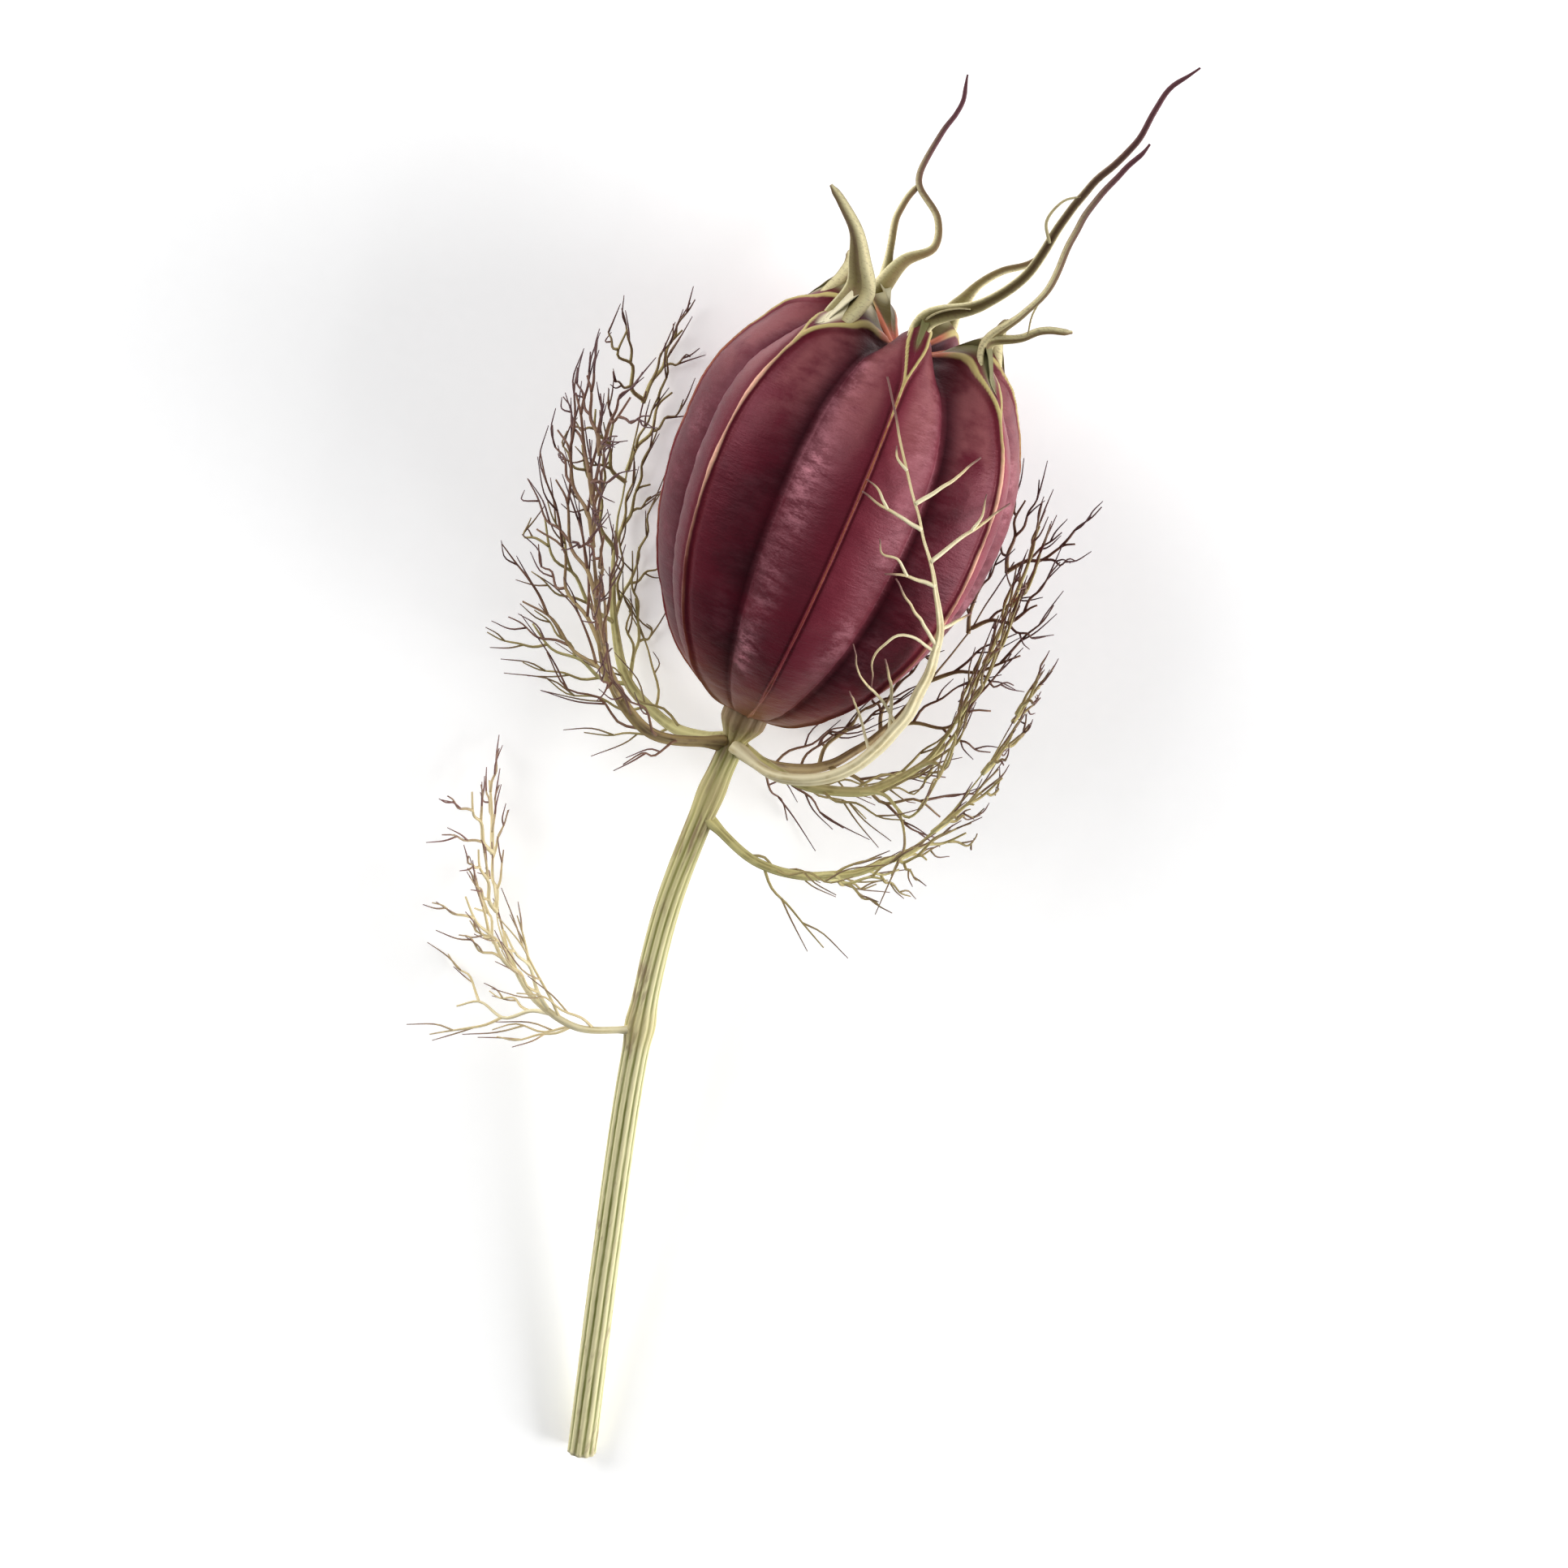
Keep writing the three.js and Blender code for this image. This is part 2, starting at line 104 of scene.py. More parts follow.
class Bundle:
    # pieces of one mesh, with numbers painted on their points
    def __init__(self):
        self.points = []
        self.faces = []
        self.paints = {}
        self.count = 0

    def add(self, points, faces, **paints):
        self.faces += [tuple(corner + self.count for corner in face) for face in faces]
        self.points.append(points)
        for name, values in paints.items():
            self.paints.setdefault(name, []).append(np.broadcast_to(values, len(points)))
        self.count += len(points)

    def finish(self, name, material, node, slotName):
        mesh = bpy.data.meshes.new(name)
        mesh.from_pydata(placed(np.vstack(self.points)).tolist(), [], self.faces)
        for paint, values in self.paints.items():
            layer = mesh.attributes.new(paint, "FLOAT", "POINT")
            layer.data.foreach_set("value", np.concatenate(values).astype(np.float32))
        mesh.validate()
        mesh.shade_smooth()
        mesh.materials.append(material)
        piece = bpy.data.objects.new(name, mesh)
        bpy.context.scene.collection.objects.link(piece)
        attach(piece, "root")
        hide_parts(node)
        print(name, "has", len(mesh.polygons), "faces")
        return piece


def smoothRoute(points, count):
    # a centripetal curve through the points, at even steps of its length, and that length
    given = np.array(points, float)
    given = np.vstack([2 * given[0] - given[1], given, 2 * given[-1] - given[-2]])
    dense = []
    for a, b, c, d in zip(given, given[1:], given[2:], given[3:]):
        ta = 0.0
        tb = ta + max(np.linalg.norm(b - a), 1e-6) ** 0.5
        tc = tb + max(np.linalg.norm(c - b), 1e-6) ** 0.5
        td = tc + max(np.linalg.norm(d - c), 1e-6) ** 0.5
        t = np.linspace(tb, tc, 16, endpoint=False)[:, None]
        ab = (tb - t) / (tb - ta) * a + (t - ta) / (tb - ta) * b
        bc = (tc - t) / (tc - tb) * b + (t - tb) / (tc - tb) * c
        cd = (td - t) / (td - tc) * c + (t - tc) / (td - tc) * d
        abc = (tc - t) / (tc - ta) * ab + (t - ta) / (tc - ta) * bc
        bcd = (td - t) / (td - tb) * bc + (t - tb) / (td - tb) * cd
        dense.append((tc - t) / (tc - tb) * abc + (t - tb) / (tc - tb) * bcd)
    dense = np.vstack(dense + [given[-2:-1]])
    run = np.concatenate([[0], np.cumsum(np.linalg.norm(np.diff(dense, axis=0), axis=1))])
    at = np.linspace(0, run[-1], count)
    return np.column_stack([np.interp(at, run, dense[:, k]) for k in range(3)]), run[-1]


def tube(route, section, across=None):
    # a closed skin round a route; section(share) gives the corners' offsets to the side and to the front
    steps = len(route)
    tangents = np.gradient(route, axis=0)
    tangents /= np.linalg.norm(tangents, axis=1)[:, None] + 1e-12
    if across is None:
        side = np.cross(tangents[0], [0.31, 0.27, 0.91])
    else:
        side = np.array(across, float)
    rings = []
    for step in range(steps):
        tangent = tangents[step]
        side = unit(side - tangent * side.dot(tangent))
        front = np.cross(side, tangent)
        offsets = section(step / (steps - 1))
        rings.append(route[step] + offsets[:, :1] * side + offsets[:, 1:] * front)
    corners = len(rings[0])
    points = np.vstack(rings + [route[:1], route[-1:]])
    faces = []
    for step in range(steps - 1):
        for corner in range(corners):
            after = (corner + 1) % corners
            low, high = step * corners, (step + 1) * corners
            faces.append((low + corner, high + corner, high + after, low + after))
    first, last, end = steps * corners, steps * corners + 1, (steps - 1) * corners
    for corner in range(corners):
        after = (corner + 1) % corners
        faces.append((corner, after, first))
        faces.append((end + after, end + corner, last))
    share = np.concatenate([np.repeat(np.arange(steps) / (steps - 1), corners), [0, 1]])
    return points, faces, share


def roundSection(corners, size):
    turns = np.arange(corners) * 2 * math.pi / corners
    ring = np.column_stack([np.cos(turns), np.sin(turns)])
    return lambda share: ring * size(share)


# Finishes

def tone(red, green, blue):
    # a colour as seen on a screen, 0 to 255, in the renderer's linear terms
    return tuple((c / 255 / 12.92) if c <= 10 else ((c / 255 + 0.055) / 1.055) ** 2.4
                 for c in (red, green, blue)) + (1.0,)


class Wire:
    # a shader socket that can stand in sums
    def __init__(self, finish, socket):
        self.finish = finish
        self.socket = socket

    def math(self, operation, first, second):
        return self.finish.node("ShaderNodeMath", {"operation": operation}, {0: first, 1: second})

    def __add__(self, other):
        return self.math("ADD", self, other)

    def __sub__(self, other):
        return self.math("SUBTRACT", self, other)

    def __mul__(self, other):
        return self.math("MULTIPLY", self, other)

    def __radd__(self, other):
        return self.math("ADD", other, self)

    def __rsub__(self, other):
        return self.math("SUBTRACT", other, self)

    def __rmul__(self, other):
        return self.math("MULTIPLY", other, self)


class Finish:
    def __init__(self, name):
        self.material = bpy.data.materials.new(name)
        self.material.use_nodes = True
        self.tree = self.material.node_tree
        self.tree.nodes.clear()

    def node(self, kind, settings=None, values=None, output=0):
        made = self.tree.nodes.new(kind)
        for name, value in (settings or {}).items():
            if name == "stops":
                ramp = made.color_ramp
                while len(ramp.elements) < len(value):
                    ramp.elements.new(0.5)
                for element, (at, colour) in zip(ramp.elements, value):
                    element.position = at
                    element.color = colour
            else:
                setattr(made, name, value)
        for socket, value in (values or {}).items():
            if isinstance(value, Wire):
                self.tree.links.new(value.socket, made.inputs[socket])
            else:
                made.inputs[socket].default_value = value
        return Wire(self, made.outputs[output])

    def paint(self, name):
        return self.node("ShaderNodeAttribute", {"attribute_name": name}, output=2)

    def spot(self, stretch=(1, 1, 1)):
        # where on the piece, in millimetres
        place = self.node("ShaderNodeTexCoord", output=3)
        return self.node("ShaderNodeVectorMath", {"operation": "MULTIPLY"},
                         {0: place, 1: tuple(1000 * s for s in stretch)})

    def noise(self, scale, stretch=(1, 1, 1), detail=3.0, roughness=0.55):
        return self.node("ShaderNodeTexNoise", {"noise_dimensions": "3D"},
                         {"Vector": self.spot(stretch), "Scale": scale, "Detail": detail,
                          "Roughness": roughness})

    def clip(self, value, low, high):
        return self.node("ShaderNodeMapRange", {"interpolation_type": "SMOOTHSTEP"},
                         {"Value": value, "From Min": low, "From Max": high})

    def mix(self, share, first, second, blend="MIX"):
        return self.node("ShaderNodeMix", {"data_type": "RGBA", "blend_type": blend},
                         {0: share, 6: first, 7: second}, output=2)

    def bump(self, height, strength, distance, normal=None):
        values = {"Height": height, "Strength": strength, "Distance": distance * mm}
        if normal:
            values["Normal"] = normal
        return self.node("ShaderNodeBump", None, values)

    def close(self, **values):
        shader = self.node("ShaderNodeBsdfPrincipled", None,
                           {name.replace("_", " "): value for name, value in values.items()})
        output = self.tree.nodes.new("ShaderNodeOutputMaterial")
        self.tree.links.new(shader.socket, output.inputs["Surface"])
        return self.material


# The capsule

capsule = {
    "carpels": 7,
    "radius": 10.7,  # over a crest at the widest ring
    "waist": 15.3,  # from the foot to the widest ring
    "shoulder": 11.3,  # from there to the top of the lobes
    "shoulderPower": 2.4,
    "furrow": 0.14,  # share of the radius
    "crease": 0.6,  # above 0 the lobes round off and the furrows turn sharp
    "crown": 5.4,  # radius of the ring of styles
    "hornRise": 2.1,  # of the horn in which a crest ends, under its style
    "hornReach": 2.1,
    "hornPower": 1.5,
    "crownDip": 2.4,  # of the pit inside the ring of styles
    "valley": 1.9,  # depth between the horns
    "facets": 50,  # in a lobe
    "gather": 1.7,  # above 1 the facets crowd beside the suture
    "rows": 210,
    "keel": 0.16,  # height of the suture's raised line
    "keelWidth": 0.1,
    "sutureBright": [0.1, 0.9, 0.2, 0.6, 0.8, 0.25, 1.0],  # how pale each suture has dried
    "boatWidths": [0.55, 1.0, 0.9, 0.8, 0.9, 1.0, 1.3],  # of each suture's boat
    "boatPale": [0.0, 0.1, 0.5, 0.3, 0.6, 0.4, 1.0],  # how pale it is inside
    "mottle": [  # how strongly each suture's left and right flanks are mottled with pale bloom, which is partly painted highlight
        (1.0, 0.5), (0.15, 0.6), (0.8, 0.3), (0.9, 0.5), (0.3, 0.8), (0.7, 0.3), (0.6, 0.1)],
    "flush": [  # painted light: how much lighter and pinker the skin of each flank is painted, standing in for the lamp light it catches
        (0.2, 0.5), (0.1, 1.0), (0.55, 0.2), (0.5, 0.7), (0.3, 0.5), (0.4, 0.2), (0.25, 0.1)],
    "paintedHighlightPatch": {"turns": 0.27, "rise": 0.66, "wide": 0.1, "high": 0.075},  # a painted highlight right of the uppermost suture
    "splitFrom": 8.4,  # radius at which a suture parts into two margins
    "splitTo": 6.3,
    "boat": 1.05,  # half width between the margins
    "boatDepth": 0.5,
    "dents": 0.2,
    "wrinkle": 0.03,
    "ladder": 0.1,  # height of the cross wrinkles beside the furrows
}
lobeAngle = 2 * math.pi / capsule["carpels"]


def furrowShare(angle):
    turns = angle / lobeAngle
    return 2 * np.abs(turns - np.round(turns))


def capsuleSkin(rise, angle):
    # height along the axis and distance from it, as in the part
    polar = math.pi * rise
    ring = capsule["radius"] * np.sin(polar)
    share = furrowShare(angle)
    fall = (1 - capsule["crease"]) * share + capsule["crease"] * share * share
    top = rise > 0.5
    inner = np.where(top, 1 - smooth(0, capsule["crown"], ring), 0)
    horns = np.where(
        top, np.exp(-(((ring - capsule["crown"]) / capsule["hornReach"]) ** 2)) * smooth(0, 2, ring), 0)
    valley = np.where(top, 1 - smooth(0.6 * capsule["crown"], 1.6 * capsule["crown"], ring), 0)
    over = capsule["waist"] + capsule["shoulder"] * np.abs(np.cos(polar)) ** (2 / capsule["shoulderPower"])
    under = capsule["waist"] * (1 - np.cos(polar))
    along = np.where(top, over, under)
    along = along + capsule["hornRise"] * horns * (1 - share) ** capsule["hornPower"]
    along = along - capsule["crownDip"] * inner - capsule["valley"] * valley * fall * (1 - inner)
    foot = smooth(0, 0.25, rise)
    deep = 0.55 + 0.45 * foot + 0.7 * smooth(0.6, 0.82, rise)
    return along, ring * (1 - capsule["furrow"] * fall * deep)


def capsulePoint(rise, angle):
    along, distance = capsuleSkin(np.array(rise), np.array(angle))
    return around(float(along), angle, float(distance))


def crestRadius(along):
    if along <= 0 or along >= capsule["waist"] + capsule["shoulder"]:
        return 0.0
    if along < capsule["waist"]:
        return capsule["radius"] * math.sqrt(1 - ((capsule["waist"] - along) / capsule["waist"]) ** 2)
    over = (along - capsule["waist"]) / capsule["shoulder"]
    return capsule["radius"] * math.sqrt(1 - over ** capsule["shoulderPower"])


marks = {  # where the marks on the capsule's skin fade in and out, and how strong they are
    "ends": 0.02,  # of a half turn, kept open at the foot and the pit
    "poleRows": 0.35,  # share of the rows that crowd towards the ends
    "lineFoot": (0.02, 0.1),  # by height, from 0 at the foot to 1 in the pit
    "linePit": (0.2, 1.6),  # by radius, in millimetres
    "lineWander": 0.1,
    "lineWidths": (0.45, 1.0, 0.45),  # of every suture, of a pale one and at the crown
    "lineCrown": (0.62, 0.8),
    "grooveFoot": (0.1, 0.3),
    "grooveDepth": 0.07,
    "boatNarrow": (1.2, 5.2),  # by radius
    "boatNarrowest": 0.28,
    "boatHalf": (0.25, 0.8),  # by half width
    "boatPit": (3.0, 5.0),
    "innerPit": (0.5, 1.6),
    "innerCrest": (4.4, 6.0),
    "dentFoot": (0.0, 0.2),
    "dentCrown": (0.8, 0.9),
    "ladderShare": 0.7,  # of the way from the suture to the furrow
    "ladderWidth": 0.22,
    "ladderFoot": (0.12, 0.3),
    "ladderCrown": (0.7, 0.82),
    "ladderPatches": (-0.35, 0.25),  # by noise
    # where the painted flank light fades in above the foot and out towards the crown
    "paintedFlankLightFoot": (0.15, 0.4),
    "paintedFlankLightCrown": (0.7, 0.85),
    "creaseWidth": 0.05,  # of the thin crease along a furrow
    "creaseFoot": (0.03, 0.15),
    "creaseDepth": 0.1,
    "pit": (0.8, 5.6),
}


def hill(value, width):
    # 1 where the value is 0, falling softly to both sides
    return np.exp(-((value / width) ** 2))


def capsuleGrid():
    # heights and angles of the skin's points; the facets crowd beside the sutures
    facets, rows = capsule["facets"], capsule["rows"]
    within = np.arange(facets) / facets * 2 - 1
    gathered = np.sign(within) * np.abs(within) ** capsule["gather"] / 2
    angles = (np.arange(capsule["carpels"])[:, None] + gathered[None, :]).ravel() * lobeAngle
    crowded = 0.5 - 0.5 * np.cos(np.linspace(marks["ends"], math.pi - marks["ends"], rows))
    rises = marks["poleRows"] * crowded + (1 - marks["poleRows"]) * np.linspace(0.006, 0.994, rows)
    return np.meshgrid(rises, angles, indexing="ij")


def outward(grid):
    up = np.gradient(grid, axis=0)
    sideways = np.roll(grid, -1, axis=1) - np.roll(grid, 1, axis=1)
    normal = np.cross(sideways, up)
    normal /= np.linalg.norm(normal, axis=-1)[..., None] + 1e-9
    return normal * np.sign((normal * grid * np.array([1, 0, 1])).sum(-1).mean())


def sutureMarks(rise, angle, flat):
    # the raised line, in two margins at the crown, with the grooves beside it and the hollow boat between
    ring = capsule["radius"] * np.sin(math.pi * rise)
    turns = angle / lobeAngle
    aside = np.abs(turns - np.round(turns)) * lobeAngle * ring  # in millimetres from the suture
    carpel = np.round(turns).astype(int) % capsule["carpels"]
    top = rise > 0.5
    bright = np.array(capsule["sutureBright"])[carpel]
    narrow = smooth(*marks["boatNarrow"], ring) * (1 - marks["boatNarrowest"]) + marks["boatNarrowest"]
    half = np.where(top, capsule["boat"] * (1 - smooth(capsule["splitTo"], capsule["splitFrom"], ring)), 0)
    half *= narrow * np.array(capsule["boatWidths"])[carpel]
    wander = grain(flat, 0.35).reshape(rise.shape) * marks["lineWander"] * (half < 0.05)
    plain, pale, crown = marks["lineWidths"]
    width = capsule["keelWidth"] * (plain + pale * bright + crown * smooth(*marks["lineCrown"], rise))
    fade = smooth(*marks["lineFoot"], rise) * np.where(top, smooth(*marks["linePit"], ring), 1)
    line = hill(aside - half - wander, width) * fade
    groove = hill(aside - half - 2.4 * width, 1.1 * width) * smooth(*marks["grooveFoot"], rise) * fade
    boat = np.where(top, hill(aside, 0.62 * half + 1e-3) * smooth(*marks["boatHalf"], half), 0)
    boat *= smooth(*marks["boatPit"], ring)
    inner = np.where(
        top, (1 - smooth(0.65, 1.0, aside / (half + 1e-3))) * smooth(*marks["innerPit"], ring), 0)
    inner = inner * (1 - smooth(*marks["innerCrest"], ring))
    pit = np.where(top, 1 - smooth(*marks["pit"], ring), 0)
    boatPale = np.array(capsule["boatPale"])[carpel]
    return {"suture": line, "groove": groove, "boat": boat, "inner": inner, "pit": pit, "bright": bright,
            "boatPale": boatPale}


def flankMarks(rise, angle, flat):
    # the mottled bands beside the furrows, pale bloom that is partly painted highlight, with a painted highlight
    # patch, and the painted light on each flank
    turns = angle / lobeAngle
    fromSuture = turns - np.round(turns)
    carpel = np.round(turns).astype(int) % capsule["carpels"]
    rightShare = smooth(-0.1, 0.1, fromSuture)
    mottle = np.array(capsule["mottle"])[carpel, (fromSuture > 0).astype(int)]
    patches = smooth(*marks["ladderPatches"], grain(flat, 0.3)).reshape(rise.shape)
    band = hill(furrowShare(angle) - marks["ladderShare"], marks["ladderWidth"])
    band = band * smooth(*marks["ladderFoot"], rise) * (1 - smooth(*marks["ladderCrown"], rise))
    band = band * (0.35 + 0.65 * patches) * mottle
    # a painted highlight patch right of the uppermost suture
    patch = capsule["paintedHighlightPatch"]
    paintedHighlightPatch = hill(turns - patch["turns"], patch["wide"]) * hill(rise - patch["rise"], patch["high"])
    # painted light: each flank painted lighter and pinker by its own share, as if lit
    paintedFlankLightTable = np.array(capsule["flush"])
    flush = paintedFlankLightTable[carpel, 0] * (1 - rightShare) + paintedFlankLightTable[carpel, 1] * rightShare
    flush = flush * smooth(*marks["paintedFlankLightFoot"], rise) * (1 - 0.6 * smooth(*marks["paintedFlankLightCrown"], rise))
    # the ladder paint carries the pale bloom, partly painted highlight, and the painted highlight patch
    return band, {"ladder": np.maximum(band, 0.9 * paintedHighlightPatch), "flush": flush}


def skinHeight(rise, angle, flat, lines, band):
    # how far the skin stands out of its smooth form, in millimetres
    dents = grain(flat, 0.16) * 0.7 + grain(flat, 0.42) * 0.3
    dents = dents.reshape(rise.shape) * smooth(*marks["dentFoot"], rise)
    dents = dents * (1 - smooth(*marks["dentCrown"], rise))
    wrinkle = grain(flat, 1.0, (0.5, 1.9, 0.5)) + 0.6 * grain(flat, 1.0, (1.0, 3.6, 1.0))
    ladder = grain(flat, 1.0, (0.3, 2.3, 0.3)) + 0.5 * grain(flat + 30, 1.0, (0.9, 3.1, 0.9))
    crease = hill(1 - furrowShare(angle), marks["creaseWidth"]) * smooth(*marks["creaseFoot"], rise)
    height = capsule["keel"] * lines["suture"] - marks["grooveDepth"] * lines["groove"]
    height = height - capsule["boatDepth"] * lines["boat"] + capsule["dents"] * dents
    height = height + capsule["wrinkle"] * wrinkle.reshape(rise.shape)
    height = height + capsule["ladder"] * ladder.reshape(rise.shape) * band
    return height - marks["creaseDepth"] * crease


def makeCapsule():
    rise, angle = capsuleGrid()
    along, distance = capsuleSkin(rise, angle)
    grid = np.stack([distance * np.sin(angle), along, distance * np.cos(angle)], axis=-1)
    flat = grid.reshape(-1, 3)
    lines = sutureMarks(rise, angle, flat)
    band, flanks = flankMarks(rise, angle, flat)
    grid = grid + outward(grid) * skinHeight(rise, angle, flat, lines, band)[..., None]

    rows, count = rise.shape
    foot, pit = rows * count, rows * count + 1  # the two points that close the skin
    faces = []
    for low in range(0, (rows - 1) * count, count):
        high = low + count
        for column in range(count):
            after = (column + 1) % count
            faces.append((low + column, low + after, high + after, high + column))
    for column in range(count):
        after = (column + 1) % count
        faces.append((after, column, foot))
        faces.append(((rows - 1) * count + column, (rows - 1) * count + after, pit))

    paints = {"share": furrowShare(angle), "rise": rise, **lines, **flanks}
    atPit = {"share": 0.5, "rise": 1, "pit": 1}
    atFoot = {"share": 0.5}
    painted = {name: np.concatenate([values.ravel(), [atFoot.get(name, 0), atPit.get(name, 0)]])
               for name, values in paints.items()}
    bundle = Bundle()
    bundle.add(np.vstack([grid.reshape(-1, 3), grid[0].mean(0), grid[-1].mean(0)]), faces,
               **painted, horn=0, edge=0, tip=0)
    return bundle


# The styles: strands on the crests, [right, along, up] of the points after the root

styles = {
    "flatness": 0.6,  # of a root; a strand rounds out along its length
    "rounding": 0.35,
    "corners": 14,
    "steps": 72,
    "rootRise": 0.775,  # heights on the crest where a strand comes out, from 0 at the foot to 1 in the pit
    "crestRise": 0.83,
    "channel": 0.8,  # how far the outer face of the root is hollowed
    "waver": 0.16,
    "flare": 3.4,  # length over which a root narrows
    "tanLength": 7.0,  # shorter strands stay tan to the tip
    "darkLength": 16.0,  # longer ones have dried dark
    "fibreSteps": 16,
    "strands": [
        {"carpel": 0, "root": 0.62, "middle": 0.34, "tip": 0.13, "route": [
            [2.5, 29.4, 6.9], [4.1, 32.1, 7.9], [4.6, 35.4, 8.8], [5.2, 38.1, 9.4], [6.6, 42.0, 10.4],
            [6.9, 44.8, 10.8], [8.1, 47.0, 11.2]]},
        {"carpel": 1, "root": 0.62, "middle": 0.34, "tip": 0.15, "route": [
            [5.2, 29.6, 4.8], [5.9, 31.7, 5.7], [5.9, 35.0, 6.3], [6.2, 37.4, 6.7], [7.0, 39.8, 7.1],
            [7.7, 41.9, 7.5]]},
        {"carpel": 1, "root": 0.5, "middle": 0.36, "tip": 0.2, "route": [
            [6.0, 28.2, 3.3], [6.8, 29.0, 3.4], [8.6, 29.7, 3.4]]},
        {"carpel": 2, "root": 0.75, "middle": 0.45, "tip": 0.25, "route": [
            [5.1, 27.9, -1.4], [5.3, 28.4, -1.7]]},
        {"carpel": 3, "root": 0.7, "middle": 0.34, "tip": 0.14, "route": [
            [2.7, 28.2, -5.0], [3.2, 29.4, -5.3], [4.2, 30.6, -5.6], [5.8, 31.9, -5.6], [6.5, 34.4, -5.7]]},
        {"carpel": 4, "root": 0.7, "middle": 0.32, "tip": 0.13, "route": [
            [-1.6, 28.9, -5.5], [-0.2, 30.3, -6.1], [-0.6, 31.9, -6.7], [-2.5, 33.5, -7.3],
            [-2.6, 35.6, -7.8], [-2.0, 38.8, -8.3], [-2.2, 40.6, -8.6]]},
        {"carpel": 4, "root": 0.6, "middle": 0.28, "tip": 0.2, "route": [
            [-2.7, 29.3, -5.9], [-3.0, 31.2, -6.6], [-2.5, 33.5, -7.3]]},
        {"carpel": 5, "root": 0.75, "middle": 0.45, "tip": 0.25, "route": [
            [-5.0, 27.9, -1.4], [-5.2, 28.4, -1.7]]},
        {"carpel": 6, "root": 1.2, "middle": 0.76, "tip": 0.22, "flare": 5.5, "route": [
            [-4.9, 28.7, 4.0], [-5.8, 30.2, 4.6], [-7.3, 31.6, 4.8], [-8.3, 32.2, 4.9]]},
    ],
    "fibres": [
        {"size": 0.1, "route": [[6.0, 33.4, 5.9], [5.9, 31.6, 5.2], [5.8, 29.8, 4.3], [6.1, 28.6, 3.6]]},
        {"size": 0.12, "route": [[4.5, 34.4, 8.6], [3.8, 35.5, 8.9], [4.2, 37.0, 9.3], [5.0, 37.6, 9.3]]},
        {"size": 0.1, "route": [[-0.6, 25.6, 4.6], [0.2, 27.6, 5.6], [1.3, 28.6, 6.5], [2.0, 28.9, 6.8]]},
    ],
}


def addStyles(bundle):
    skinOnly = dict.fromkeys(
        ("suture", "share", "boat", "pit", "inner", "ladder", "flush", "bright", "boatPale"), 0)
    steps = styles["steps"]
    shares = np.linspace(0, 1, steps)
    turns = np.arange(styles["corners"]) * 2 * math.pi / styles["corners"]
    wide = np.cos(turns)
    for number, strand in enumerate(styles["strands"]):
        angle = strand["carpel"] * lobeAngle
        foot = capsulePoint(styles["rootRise"], angle) + around(-0.5, angle, -0.9)
        crest = capsulePoint(styles["crestRise"], angle) + around(-0.3, angle, -0.15)
        route, length = smoothRoute([foot, crest] + strand["route"], steps)
        for axis in range(3):
            drift = grain(route + 17.0 * number + 5.0 * axis, 0.6)
            route[:, axis] += styles["waver"] * drift * smooth(0.25, 1.0, shares)
        root, middle, tip = strand["root"], strand["middle"], strand["tip"]
        flareShare = strand.get("flare", styles["flare"]) / length + 0.15

        def section(share, root=root, middle=middle, tip=tip, flareShare=flareShare):
            half = root + (middle - root) * smooth(0.25, 1, share / flareShare)
            half = half + (tip - middle) * max(share - 0.25, 0) / 0.75
            half = half * (1 - 0.5 * smooth(0.94, 1.0, share))
            hollow = styles["channel"] * (1 - smooth(0.5, 0.9, share))
            front = np.sin(turns)
            front = np.where(front > 0, front * (1 - hollow * hill(wide, 0.6)), front)
            flatness = styles["flatness"] + styles["rounding"] * smooth(0.2, 0.8, share)
            return np.column_stack([wide * half, front * half * flatness])

        points, faces, share = tube(route, section, around(0, angle + math.pi / 2, 1))
        # painted highlight along both edges of a strand and painted shade in the hollow channel of its root
        edge = np.append(np.tile(np.abs(wide) ** 4, steps), [0, 0])
        channel = np.append(np.tile(hill(wide, 0.5) * (np.sin(turns) > 0), steps), [0, 0])
        channel = channel * (1 - smooth(0.6, 0.95, share))
        dark = share * smooth(styles["tanLength"], styles["darkLength"], length)
        bundle.add(points, faces, **skinOnly, groove=channel, rise=1, horn=1, edge=edge,
                   tip=0.4 * share + 0.6 * dark)
    for fibre in styles["fibres"]:
        route = smoothRoute(fibre["route"], styles["fibreSteps"])[0]
        points, faces, share = tube(route, roundSection(6, lambda t, r=fibre["size"]: r * (1 - 0.5 * t)))
        bundle.add(points, faces, **skinOnly, groove=0, rise=1, horn=1, edge=0.4, tip=0.3)


podColours = {
    # dark burgundy, used for the mottling and for the painted shade towards the furrows
    "dark": tone(34, 10, 16),
    "body": tone(86, 20, 34),
    # pale bloom, partly painted highlight
    "pale": tone(196, 130, 142),
    # painted light on the lit flanks
    "flush": tone(160, 66, 82),
    # painted sheen on the shoulders
    "paintedShoulderSheen": tone(136, 78, 80),
    "foot": tone(146, 108, 52),
    "footRed": tone(148, 56, 46),
    "suture": tone(224, 172, 146),
    "sutureLow": tone(124, 62, 36),
    "sutureMiddle": tone(142, 88, 48),
    "sutureTop": tone(186, 172, 112),
    "groove": tone(84, 14, 24),
    "boat": tone(112, 112, 72),
    "boatPale": tone(222, 214, 180),
    "boatInner": tone(104, 100, 56),
    "pit": tone(186, 84, 66),
    "pitLine": tone(214, 128, 98),
    "pitDark": tone(52, 16, 26),
    "styleRoot": tone(122, 116, 66),
    # painted highlight on the edges of the styles
    "styleEdgeHighlight": tone(234, 226, 178),
    # painted shade in the channel of the style roots
    "styleChannelShade": tone(70, 58, 34),
    "styleMiddle": tone(104, 88, 54),
    "styleTip": tone(80, 52, 56),
}


